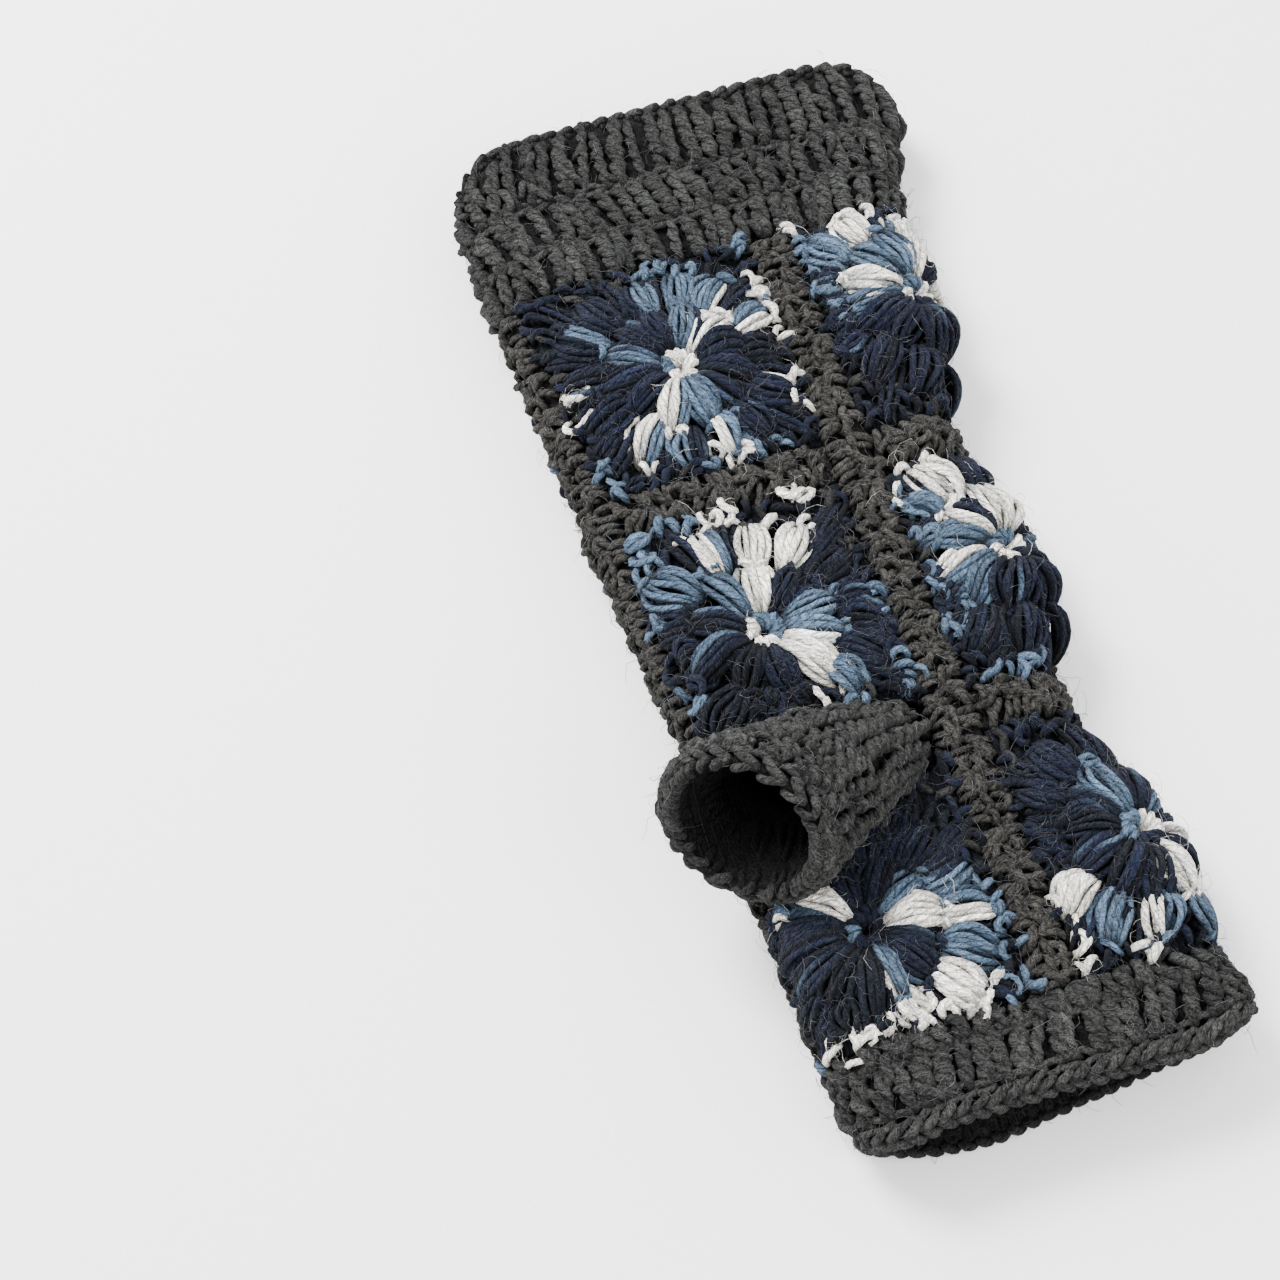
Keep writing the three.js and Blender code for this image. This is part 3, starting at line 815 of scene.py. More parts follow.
def knots(cloth, centre_u, centre_s, rows, flat=None):
    """Small closing stitches of flower yarn: (x, y, angle, size, letter, height)."""
    n = len(rows)
    if not n:
        return
    k = 8
    t = np.linspace(0, 1, k)
    p_all, n_all = [], []
    names = []
    for x, y, ang, size, letter, high in rows:
        a = math.radians(ang)
        kind = rng.uniform()
        if kind < 0.2:  # a curl
            sweep = (t * 1.35 - 0.2) * 2 * math.pi * rng.uniform(0.5, 0.68)
            lx = size * 0.95 * np.cos(sweep)
            ly = size * 0.55 * np.sin(sweep)
        else:  # a bent bar
            lx = size * 2.1 * (t - 0.5)
            ly = size * rng.normal(0, 0.35) * (1 - (2 * t - 1) ** 2)
        x_mm = x + lx * math.cos(a) - ly * math.sin(a)
        y_mm = y + lx * math.sin(a) + ly * math.cos(a)
        h = high - 2.4 + 2.9 * np.sin(math.pi * t) ** 0.7 + rng.normal(0, 0.12, k)
        h = h * (flat(x_mm, y_mm) if flat is not None else 1.0)
        p, normal = Tube.place(centre_u, centre_s, x_mm, y_mm, h)
        p_all.append(p)
        n_all.append(normal)
        names.append(letter)
    p, normal = np.array(p_all), np.array(n_all)
    rad = 1.02 * taper(k, 0.72)[None, :] * np.exp(rng.normal(0, 0.13, (n, 1)))
    p[..., 2] = np.maximum(p[..., 2], rad * 0.8 + 0.1)
    cloth.tubes(p, normal, rad, tone(names, 0.12), sides=5, crease_shade=0.7)


# Charts. Angles are degrees as the camera sees them; TURN brings them into the glove's frame.
TURN = -17.0
FLOWERS = {
    "middle_left": {
        "centre": (-33.5, 132.5),
        "ring": "BBBBWWWWWWBB",
        "inner": [
            (101, "WWWWWWW"), (68, "NNDNNN"), (42, "NNNNNN"), (21, "BBBBBB"), (-3, "WWBBBB"),
            (-38, "WWWWWWW"), (-72, "DNNNNN"), (-105, "DDDDDD"), (-141, "BBNNDD"), (171, "BNDDDN"),
            (135, "BBBBBB"),
        ],
        "outer": [
            (146, "BBBBBBB"), (122, "BBWWW"), (98, "WWWWW"), (71, "WWWWWW"), (48, "NDDDDDD"), (28, "NNNNNN"),
            (5, "DDNNND"), (-16, "NNNNNNN"), (-38, "BBBBBBB"), (-64, "DDDDDD"), (-92, "NNDDNN"),
            (-120, "DDDDDDD"), (-150, "DNNDDD"), (172, "NNNNNN"),
        ],
        "knots": "BBWWWNNNNBNBBBWNNNNBNBBB",
    },
    "hand_left": {
        "centre": (-35.5, 50.0),
        "ring": "NNNNNBBNNNDD",
        "inner": [
            (45, "BBBBBBB"), (16, "WWWWWWW"), (-10, "DNNNND"), (-37, "NNNNNNN"), (-62, "WBBB"), (-84, "DDDDDD"),
            (-111, "DDDDDDD"), (-138, "DDNNDD"), (-162, "NNDDNN"), (174, "BBNNNN"), (146, "WWWWWB"), (115, "NNNNNN"), (80, "DNNNNN"),
        ],
        "outer": [
            (62, "NNNNNNN"), (38, "BBBNNN"), (12, "WWWBBB"), (-11, "BBBBBBB"), (-31, "WWWWWWW"),
            (-53, "WWWWWWW"), (-74, "WWNNDD"), (-98, "DDDDDD"), (-122, "DDDDNN"), (-148, "NNNNNN"), (-174, "BBNNNN"),
            (160, "BBBBWW"), (132, "NNNNNNN"), (108, "DDDDDD"), (84, "NNNNNN"),
        ],
        "knots": "NNNNNNNNDBBBBWWWWWBBNNNB",
    },
    "arm_left": {
        "centre": (-31.0, 212.0),
        "ring": "WWWWBBBWWWWW",
        "inner": [
            (51, "WWWWWWW"), (23, "NNNNNNN"), (-8, "DDNNND"), (-36, "DNNNNND"), (-66, "BBBBBBB"),
            (-99, "WWWWBB"), (-132, "NNNNNN"), (-163, "DDNNDD"), (165, "NNNBBB"), (138, "NNNNNN"), (112, "DNNNND"), (84, "NNBBBBB"),
        ],
        "outer": [
            (66, "WBBBBB"), (88, "BBBBBB"), (40, "WWBBB"), (14, "DDDDDD"), (-14, "NNNNNNW"),
            (-42, "NNNNNNN"), (-64, "WWBBB"), (-88, "BBBNNN"), (-114, "WWWWBB"), (-140, "NNNNNNN"), (-168, "NNDDNN"),
            (163, "BBBNNN"), (136, "NNNNNNN"), (112, "BBBBNN"),
        ],
        "knots": "NNNBNNBWWWWNNBWBNNBNWNNN",
    },
    "middle_right": {
        "centre": (31.0, 138.5),
        "ring": "WWBBBBWWWWNN",
        "inner": [
            (115, "WWWWWWW"), (88, "NNWWWW"), (58, "NNNNNN"), (30, "BBBBBB"), (0, "NNNNNN"), (-28, "WWWWWW"),
            (-56, "NNNNNNN", 3.0), (-84, "NNNNNNN", 1.5), (-115, "BBBBBBB"), (-147, "WWWBBB"), (177, "BBBBBBB"), (146, "NNNWWW"),
        ],
        "outer": [
            (136, "WWWWWWW"), (156, "BBBBBB"), (180, "NNBBBB"), (-155, "NNNNNN"), (-128, "NNNNNNN"), (-106, "NNNDDN"),
            (-80, "DDNNNN", 1.5), (-52, "NNNNNNN", 3.5), (-26, "NNNNNN", 2.5), (0, "BBBBBB"), (26, "NNNNNN"), (52, "WWWWWW"), (82, "NNNNNN"), (110, "BBNNNN"),
        ],
        "knots": "WWWWBBNBBWWNNNNBBBNBBBBW",
    },
    "hand_right": {
        "centre": (35.2, 56.0),
        "ring": "WWWBBBBBNNNW",
        "inner": [
            (122, "NNBBBBB"), (94, "NNNNNN"), (66, "BBBBNN"), (36, "NNNNNN"), (6, "WWWWWW"), (-22, "NNNNNN"), (-50, "WWWWWWW"),
            (-82, "NNDDNN"), (-112, "DDNNDN"), (-146, "NNNNNNN"), (180, "NNDDDN"), (150, "BBNNNN"),
        ],
        "outer": [
            (134, "NNNNNNN"), (110, "NNDDNN"), (156, "NNNNNN"), (180, "DDNNNN"), (-158, "NNNDDD"), (-132, "WWWWWWW"), (-108, "BBBBBBB"),
            (-82, "WWWBBB"), (-54, "BBBBBB"), (-28, "NNNNNN"), (0, "NNNNNN"), (28, "BBBBBB"), (54, "NNNNNNN"), (82, "BBBBNN"),
        ],
        "knots": "NNNNBNNBBWWNNNBNWBWNNNNN",
    },
    "arm_right": {
        "centre": (34.0, 218.0),
        "ring": "WWBBBBWWNNNN",
        "inner": [
            (92, "DDWWWW"), (64, "NNNNNN"), (36, "WWWWWW"), (6, "BBBBBB"), (-22, "NNNNNN", 1.5), (-50, "NNNNNNN", 3.0), (-76, "NNNNNN", 1.0),
            (-103, "NNNNNNN"), (-132, "NNNNNNN"), (-158, "BBBBBBB"), (172, "WWWWWWW"), (146, "BBBBBB"), (120, "BBBBBB"),
        ],
        "outer": [
            (130, "WWWWWWW"), (152, "BBBBBBB"), (177, "BNNNNB"), (-158, "NNNNNN"), (-132, "NNNNNNN"), (-108, "NNNDDN"), (-84, "NNNNNN"),
            (-56, "NNNNNNN", 3.0), (-28, "WWWWWW"), (0, "NNNNNN"), (28, "BBBBBB"), (54, "NNNNNN"), (80, "WWWWWW"), (106, "WWWWWW"),
        ],
        "knots": "WWWWWWWBBNWWWWNNNNNNNNBB",
    },
    "hand_under": {
        "centre": None,
        "ring": "WWWWBBBBBBWW",
        "inner": [
            (15, "WWWWWWW"), (45, "BBBBBB"), (75, "NNNNNN"), (105, "NNDDNN"), (135, "WWWBBB"), (165, "BBBBBB"),
            (195, "NNNNNN"), (225, "DDDDDD"), (255, "WWWWWW"), (285, "NNNNNN"), (315, "BBBBBB"), (345, "NNNNNN"),
        ],
        "outer": [
            (0, "NNNNNN"), (26, "BBBBBB"), (50, "NNNNNNN"), (76, "WWWWWW"), (102, "NNNNNN"), (128, "DDDDDD"), (154, "BBBNNN"),
            (180, "NNNNNN"), (206, "WWWWWW"), (232, "NNNNNN"), (258, "NNNNNN"), (284, "BBBBBB"), (310, "WWWWWW"), (336, "NNNNNN"),
        ],
        "knots": "WBNNBBWWNNNBBBWNWNNBBNNW",
    },
    "middle_under": {
        "centre": None,
        "ring": "BBBBBBBBBBBB",
        "inner": [
            (5, "NNNNNN"), (37, "WWWWWW"), (70, "WWWBBB"), (100, "BBBBBB"), (132, "NNNNNN"), (165, "NNNNNN"),
            (198, "WWWWWW"), (232, "BBBBBB"), (262, "NNNNNN"), (295, "DDNNNN"), (328, "NNNNNN"),
        ],
        "outer": [
            (0, "BBBBBB"), (26, "NNNNNN"), (50, "WWWWWWW"), (76, "NNNNNN"), (102, "NNNNNN"), (128, "WWWBBB"), (154, "NNNNNN"),
            (180, "BBBBBB"), (206, "NNNNNN"), (232, "NNNNNNN"), (258, "WWWWWW"), (284, "NNNNNN"), (310, "BBBBBB"), (336, "NNNNNN"),
        ],
        "knots": "BWWNNBBNNNWWBBNNWBNNNBBW",
    },
    "arm_under": {
        "centre": None,
        "ring": "WWWWWWWBBBBW",
        "inner": [
            (10, "BBBBBB"), (42, "NNNNNN"), (74, "NNNNNN"), (106, "WWWWWW"), (138, "NNNNNN"), (170, "BBBNNN"),
            (202, "NNNNNN"), (234, "WWWWWW"), (266, "BBBBBB"), (298, "NNNNNN"), (330, "WWWBBB"),
        ],
        "outer": [
            (0, "NNNNNN"), (26, "WWWWWW"), (50, "BBBBBBB"), (76, "NNNNNN"), (102, "BBBBBB"), (128, "NNNNNN"), (154, "WWWWWW"),
            (180, "NNNNNN"), (206, "BBBBBB"), (232, "NNNNNNN"), (258, "NNNNNN"), (284, "WWWBBB"), (310, "NNNNNN"), (336, "BBBBBB"),
        ],
        "knots": "NNBBWWNBBBNNWWBNNNBWWBBN",
    },
}


def u_of_x(x, s):
    """u on the upper side of the tube whose point has this x."""
    r, flat, cx, cz, girth = (float(v) for v in section(np.array(float(s))))
    q = abs(x - cx)
    p = q if q <= flat / 2 else flat / 2 + r * math.asin(min(1.0, (q - flat / 2) / r))
    return (math.copysign(p, x - cx) - (SEAM_X - cx)) / girth


def speckle(shade, count, spread=0.2):
    return shade * (1.0 + spread * rng.normal(0, 1, (count, 1)).clip(-2, 2))


def square_piece(row, column):
    cloth = Cloth()
    fine = column != "under"
    chart = FLOWERS[f"{row}_{column}"]
    u0, u1 = COLUMNS[column]
    r0, r1 = ROWS[row]
    lo = r0 + (0 if r0 == HAND_JOIN else SEAM_HALF) + GAP
    hi = r1 - (0 if r1 == ARM_JOIN else SEAM_HALF) - GAP
    opened_hi = column == "left" and row == "hand"
    opened_lo = column == "left" and row == "middle"

    def edges(a):
        """First and last s of the square at a place a (-1 to 1) across it."""
        s0 = np.full_like(a, lo)
        s1 = np.full_like(a, hi)
        if opened_hi:
            s1 = r1 - gape(a, -1) - GAP
        if opened_lo:
            s0 = r0 + gape(a, 1) + GAP
        return s0, s1

    if chart["centre"] is None:
        centre_s = (lo + hi) / 2
        centre_u = (u0 + u1) / 2
        turn = 0.0
    else:
        x, centre_s = chart["centre"]
        centre_u = u_of_x(x, centre_s)
        turn = TURN

    def where(x, y):
        """Place (a, b) in the square of a spot x, y mm from the flower's middle."""
        s = centre_s + y
        g = section(s)[4]
        a = (centre_u + x / g - (u0 + u1) / 2) / ((u1 - u0) / 2 - SEAM_HALF / g)
        s0, s1 = edges(np.clip(a, -1, 1))
        return a, (s - s0) / (s1 - s0) * 2 - 1, s, g

    def flat(x, y):
        """Puffs are flatter where the square turns over a fold, and pressed under the thumb."""
        a, b, s, g = where(x, y)
        nz = base(centre_u + x / g, s)[1][..., 2]
        f = 1 - SIDE_FLAT * (1 - np.abs(nz))
        if opened_hi:
            f = f * (1 - PRESS * leaned_on(a, b))
        return f

    # the crocheted base cloth, with a relief of stitches on both faces
    ni, nj = (26, 26) if fine else (18, 18)
    a = np.linspace(-1, 1, ni)[:, None] * np.ones((1, nj))
    s0, s1 = edges(a)
    s = s0 + (s1 - s0) * np.linspace(0, 1, nj)[None, :]
    g = section(s)[4]
    w = (SEAM_HALF + GAP) / g
    u = (u0 + w) + (u1 - u0 - 2 * w) * (a + 1) / 2
    bump = rng.normal(0, 0.5, s.shape)
    fade = np.minimum(1.0, 6 * (1 - np.abs(a)))
    point, normal = base(u, s)
    outer = point + normal * (0.3 + 0.4 * bump * fade)[..., None]
    inner = point - normal * (WALL - 0.35 - 0.35 * np.roll(bump, 2, 0) * fade)[..., None]
    # painted shade: the outer face is the darkest yarn darkened further, so the gaps between strands look deep, and the
    # inner face is the darkened inside grey
    cloth.shell(outer, inner, False, speckle(WOOL["D"] * 0.6, ni * nj), speckle(WOOL["G"], ni * nj))

    def reach(deg):
        """How far the flower may reach in a direction."""
        c, t = math.cos(math.radians(deg)), math.sin(math.radians(deg))
        d = np.arange(8, 60, 0.5)
        aa, bb, _, _ = where(d * c, d * t)
        bad = (np.abs(aa) > 1) | (np.abs(bb) > 1)
        return float(d[np.argmax(bad)] - 0.5) if bad.any() else 60.0

    def to_xy(a, b):
        """Offsets in mm from the flower's middle of a place in the square."""
        e0, e1 = edges(np.array([a]))
        ss = float(e0[0] + (e1[0] - e0[0]) * (b + 1) / 2)
        gg = float(section(np.array(ss))[4])
        ww = (SEAM_HALF + GAP) / gg
        uu = (u0 + ww) + (u1 - u0 - 2 * ww) * (a + 1) / 2
        return (uu - centre_u) * gg, ss - centre_s

    # ground: dark stitches of the rounds behind the flower
    spots, names = [], []
    grid = 11 if fine else 8
    for i in range(grid):
        for j in range(grid):
            aa = (i + 0.5 + rng.normal(0, 0.25)) / grid * 2 - 1
            bb = (j + 0.5 + rng.normal(0, 0.25)) / grid * 2 - 1
            x, y = to_xy(float(np.clip(aa, -0.95, 0.95)), float(np.clip(bb, -0.95, 0.95)))
            if math.hypot(x, y) < 9:
                continue
            away = math.atan2(y, x)
            f = float(flat(np.array(x), np.array(y)))
            spots.append(
                (Tube, centre_u, centre_s, x, y, 1.5 * f + 0.2, away + rng.normal(0, 0.7), rng.uniform(5.5, 8.5), 1.2 * f)
            )
            names.append("DNDC"[rng.integers(0, 4)])
    tangle(cloth, spots, "".join(names), thick=1.05, sides=5)

    # the two rounds of puffs
    inner_rows, outer_rows = [], []
    tips = []
    for deg, letters, *more in chart["inner"]:
        deg = deg + turn + rng.normal(0, 2.0)
        far = min(19.8 + rng.normal(0, 1.2), reach(deg) - 1)
        inner_rows.append(
            (deg, 4.0, far, 1.38 * len(letters) + 0.7, 8.6 + sum(more) + rng.normal(0, 0.6), letters, 1.6, rng.uniform(0.05, 0.4), rng.normal(0, 0.9))
        )
        tips.append((deg, far, letters))
    for deg, letters, *more in chart["outer"]:
        deg = deg + turn + rng.normal(0, 2.5)
        far = reach(deg)
        start = 16.2 + rng.normal(0, 0.8)
        end = far - 2.2 + rng.normal(0, 0.8)
        if end - start < 6.5:
            start = end - 6.5
        if start < 9:
            continue
        end = min(end, start + 15.5)
        high = (6.5 if end - start > 10 else 5.3) + sum(more) + rng.normal(0, 0.5)
        outer_rows.append(
            (deg, start, end, 1.48 * len(letters) + 1.0, high, letters, 1.5, rng.uniform(0.15, 0.6), rng.normal(0, 1.2))
        )
        tips.append((deg, end, letters))
        # a second, half hidden puff beside it fills the round
        side = deg + rng.choice([-1, 1]) * rng.uniform(9, 14)
        far2 = reach(side)
        if far2 > 20 and fine:
            outer_rows.append(
                (side, min(far2 - 8, 15.5), far2 - 1.6, 6.6, 4.3 + rng.normal(0, 0.4), "DNDN"[: rng.integers(3, 5)], 0.9, 0.6, rng.normal(0, 0.8))
            )
    petals(cloth, centre_u, centre_s, outer_rows, flat, fine)
    petals(cloth, centre_u, centre_s, inner_rows, flat, fine)
    ring(cloth, centre_u, centre_s, chart["ring"])

    # closing stitches over the puffs' outer ends
    rows = []
    for i, (deg, far, letters) in enumerate(tips):
        main = letters[len(letters) // 2]
        for q in range((3 if i < len(inner_rows) else 2) if fine else 1):
            dd = math.radians(deg + rng.normal(0, 6))
            rr = far + rng.uniform(-0.8, 1.4)
            high = (5.2 if i < len(inner_rows) else 3.8) - 0.5 * q
            rows.append((rr * math.cos(dd), rr * math.sin(dd), deg + 90 + rng.normal(0, 40), rng.uniform(1.7, 2.6), main, high))
    # the border: closing stitches along the square's edges, in flower and dark yarn
    chart_knots = chart["knots"]
    count = 44 if fine else 24
    for i in range(count):
        at = i / count * 4
        edge, f = int(at), (at % 1) * 2 - 1
        aa, bb = ((f, 1.0), (1.0, -f), (-f, -1.0), (-1.0, f))[edge]
        x, y = to_xy(aa * 0.93 + rng.normal(0, 0.02), bb * 0.93 + rng.normal(0, 0.02))
        letter = chart_knots[int(i * len(chart_knots) / count)]
        if rng.uniform() < 0.28:
            letter = "CDN"[rng.integers(0, 3)]
        out = math.degrees(math.atan2(y, x))
        for q in range(rng.integers(2, 4) if fine and letter in "WB" else 1):
            rows.append(
                (
                    x + rng.normal(0, 1.3), y + rng.normal(0, 1.3), out + rng.normal(0, 50),
                    rng.uniform(1.8, 2.9), letter, 3.1 + 0.7 * q + rng.normal(0, 0.3),
                )
            )
    knots(cloth, centre_u, centre_s, rows, flat)
    cloth.fuzz(FUZZ["square"] if fine else FUZZ["square_under"])
    return cloth


# loose fibres on each kind of piece
FUZZ = {
    "square": 860,
    "square_under": 90,
    "seam": 440,
    "ring": 130,
    "band_hand": 700,
    "band_arm": 900,
    "thumb": 520,
}


def seam_spots(length, make, step=2.5):
    """Strands of a joining seam. make(along, across, h, angle, length, arch) returns a spot."""
    spots = []
    along = 1.8
    while along < length - 1.8:
        for side in (-1, 1):
            # legs that go over from the middle to the edge
            spots.append(
                make(along + rng.normal(0, 0.5), side * rng.uniform(2.3, 3.3), 1.5, (90 + side * rng.uniform(-8, 34)), rng.uniform(6.2, 7.8), 1.7)
            )
        if rng.uniform() < 0.9:
            spots.append(
                make(along + rng.normal(0, 0.7), rng.normal(0, 1.6), rng.uniform(2.0, 2.9), rng.uniform(-50, 50), rng.uniform(4.6, 6.6), 1.3)
            )
        if rng.uniform() < 0.75:
            spots.append(
                make(along + rng.normal(0, 0.8), rng.choice([-1, 1]) * rng.uniform(1.0, 4.4), rng.uniform(1.6, 2.5), rng.uniform(0, 180), rng.uniform(3.8, 5.4), 1.5)
            )
        along += step
    return spots


def seam_along(u0, fuzz, step=2.5):
    """A lengthwise joining seam."""
    cloth = Cloth()
    lo, hi = HAND_JOIN + GAP, ARM_JOIN - GAP
    nj, ni = 70, 5
    s = np.linspace(lo, hi, nj)[None, :] * np.ones((ni, 1))
    w = np.linspace(-1, 1, ni)[:, None]
    u = u0 + w * (SEAM_HALF - GAP) / section(s)[4]
    point, normal = base(u, s)
    outer = point + normal * (0.4 + rng.normal(0, 0.2, s.shape))[..., None]
    inner = point - normal * (WALL - 0.3 + rng.normal(0, 0.15, s.shape))[..., None]
    g = speckle(WOOL["G"], ni * nj)
    # painted shade: the cloth under the seam's strands is the darkened inside grey, a little darker on its outer face
    cloth.shell(outer, inner, False, g * 0.8, g)

    def make(along, across, h, ang, length, arch):
        a = math.radians(90 - ang)
        return (Tube, u0, lo, across, along, h, a, length, arch)

    tangle(cloth, seam_spots(hi - lo, make, step), "S", thick=0.92)
    cloth.fuzz(fuzz, long=4.5)
    return cloth


def seam_ring(s0, column, fuzz):
    cloth = Cloth()
    u0, u1 = COLUMNS[column]
    girth = float(section(np.array(s0))[4])
    a0 = u0 + (SEAM_HALF + GAP) / girth
    a1 = u1 - (SEAM_HALF + GAP) / girth
    ni, nj = 30, 6
    u = np.linspace(a0, a1, ni)[:, None] * np.ones((1, nj))
    s = s0 + np.linspace(-1, 1, nj)[None, :] * (SEAM_HALF - GAP) * np.ones((ni, 1))
    point, normal = base(u, s)
    outer = point + normal * (0.4 + rng.normal(0, 0.2, s.shape))[..., None]
    inner = point - normal * (WALL - 0.3 + rng.normal(0, 0.15, s.shape))[..., None]
    g = speckle(WOOL["G"], ni * nj)
    # painted shade: the cloth under the seam's strands is the darkened inside grey, a little darker on its outer face
    cloth.shell(outer, inner, False, g * 0.8, g)

    def make(along, across, h, ang, length, arch):
        return (Tube, a0, s0, along, across, h, math.radians(ang), length, arch)

    tangle(cloth, seam_spots((a1 - a0) * girth, make), "S", thick=0.92)
    cloth.fuzz(fuzz, long=4.5)
    return cloth


def band_piece(end, lo, hi, rows, n_round, fuzz):
    """A band of tall stitches with a plaited rim."""
    cloth = Cloth()
    surface = Band(end)
    rim_at_start = end == "hand"
    ni, nj = int(1.6 * n_round), max(8, int((hi - lo) / 3.4))
    u = (np.arange(ni) / ni)[:, None] * np.ones((1, nj))
    s = np.linspace(lo, hi, nj)[None, :] * np.ones((ni, 1))
    bump = rng.normal(0, 0.12, s.shape)
    outer, _ = surface.place(u, s, 0 * s, 0 * s, 0.15 + bump)
    inner, _ = surface.place(u, s, 0 * s, 0 * s, -(WALL * 0.72 + bump))
    g = speckle(WOOL["G"], ni * nj)
    # painted shade: the cloth between the stitches is the inside grey darkened further, to near black
    cloth.shell(outer, inner, True, g * 0.3, g * 0.5)
    one = np.ones(n_round)
    uu = np.arange(n_round) / n_round
    step = float(section(np.array((lo + hi) / 2))[4]) / n_round
    for i, (start, tall) in enumerate(rows):
        off = (i % 2) * 0.5 / n_round
        jitter = rng.normal(0, 0.5, n_round)
        posts(cloth, surface, uu + off, start + jitter, tall * np.exp(rng.normal(0, 0.04, (n_round, 1))), lean=(1.5, -0.8, 1.0)[i % 3], jitter=0.45)
        inner_posts(cloth, surface, uu + off + 0.25 / n_round, start + jitter, tall)
        spots = []
        for j in range(int(n_round * tall / (17 if end == "arm" else 30))):
            spots.append(
                (surface, rng.uniform(0, 1), start + rng.uniform(0.15, 0.85) * tall, 0.0, 0.0, rng.uniform(2.3, 3.1), math.pi / 2 + rng.normal(0.25, 0.4), rng.uniform(5.0, 8.0), 1.2)
            )
        tangle(cloth, spots, "C", thick=1.08)
        top = start + tall
        if lo + 2 < top < hi - 3:
            chain(cloth, surface, uu + off, (top + 0.6) + rng.normal(0, 0.3, n_round), step, wide=1.15, out=(0.4, 1.5), thick=0.95, wobble=0.3)
    edge = lo if rim_at_start else hi
    sign = -1 if rim_at_start else 1
    if rim_at_start:
        n_rim = int(n_round * 1.15)
        ur = np.arange(n_rim) / n_rim
        step_r = float(section(np.array(edge))[4]) / n_rim
        braid(cloth, surface, ur, (edge + 0.9) * np.ones(n_rim), step_r, sign, (0.62, 0.78), thick=1.14, past=0.3, wide=1.45)
        chain(cloth, surface, ur + 0.4 / n_rim, (edge + 4.4) * np.ones(n_rim), step_r, wide=1.5, out=(0.5, 1.8), thick=0.95, wobble=0.35)
    else:
        braid(cloth, surface, uu, (edge - 1.0) * one, step, sign, (0.7, 0.7), thick=1.1, past=0.1, wide=1.15)
    cloth.fuzz(fuzz, long=4.6)
    return cloth


def thumb_piece(fuzz):
    cloth = Cloth()
    n_round = 27
    ni, nj = 40, 12
    turns = (np.arange(ni) / ni)[:, None] * np.ones((1, nj))
    t = np.linspace(0, 1, nj)[None, :] * np.ones((ni, 1))
    outer, _ = Thumb.place(turns, t, 0 * t, 0 * t, np.full(t.shape, -1.7) + rng.normal(0, 0.15, t.shape))
    inner, _ = Thumb.place(turns, t, 0 * t, 0 * t, np.full(t.shape, -THUMB_WALL) + rng.normal(0, 0.15, t.shape))
    g = speckle(WOOL["G"], ni * nj)
    # painted shade: the cloth between the stitches is darkened to near black, and darker still on its inner face
    cloth.shell(outer, inner, True, g * 0.3, g * 0.1)
    uu = np.arange(n_round) / n_round

    class Skin:
        @staticmethod
        def place(u, s, x, y, h):
            return Thumb.place(u, s, x, y, h - 2.1)

    def spaced(t0, spacing, shift):
        """Places round the tube at level t0, one every so many mm."""
        turn = np.linspace(0, 1, 241)[:, None]
        q = Thumb.place(turn, 0 * turn + t0, 0 * turn, 0 * turn, 0 * turn)[0].reshape(-1, 3)
        arc = np.concatenate([[0], np.cumsum(np.linalg.norm(np.diff(q, axis=0), axis=1))])
        n = int(round(arc[-1] / spacing))
        return np.interp((np.arange(n) + shift) / n * arc[-1], arc, turn[:, 0])

    for i, t0 in enumerate((0.02, 0.20, 0.38, 0.56, 0.74)):
        us = spaced(t0 + 0.09, 4.5, (i % 2) * 0.5)
        z = 0 * us[:, None]
        foot, top = (Skin.place(us[:, None], z + v, z, z, z)[0].reshape(-1, 3) for v in (t0, t0 + 0.18))
        tall = np.clip(np.linalg.norm(top - foot, axis=1), 5.0, 15.0)[:, None]
        posts(cloth, Skin, us, t0 + rng.normal(0, 0.012, len(us)), tall, lean=2.6, jitter=0.5, low=1.3, bulge=0.9, thick=0.98)
    spots = []
    around = spaced(0.45, 1.0, 0.0)
    for i in range(110):
        spots.append(
            (Skin, rng.choice(around), rng.uniform(0.06, 0.9), 0.0, 0.0, rng.uniform(2.0, 3.0), rng.normal(0.5, 0.5), rng.uniform(5.0, 7.5), 1.2)
        )
    tangle(cloth, spots, "C", thick=0.95)
    for t0 in (0.4, 0.76):
        # painted shade: the thumb's inside stitches are in K, nearly black
        inner_posts(cloth, Skin, uu + 0.3 / n_round, t0 * np.ones(n_round), 8.5, colour="K", depth=1.2)
    n_rim = 38
    ur = np.arange(n_rim) / n_rim
    step = 2 * math.pi * math.sqrt((RIM_LONG**2 + RIM_SHORT**2) / 2) / n_rim
    braid(cloth, Skin, ur, 0.955 * np.ones(n_rim), step, 1, (-0.45, 0.89), thick=1.06, past=1.0, wide=1.35, crease_shade=0.5)
    chain(cloth, Skin, ur + 0.3 / n_rim, 0.90 * np.ones(n_rim), step, wide=1.2, out=(0.9, 2.2), thick=1.0, wobble=0.25)
    cloth.fuzz(fuzz, long=4.6)
    return cloth


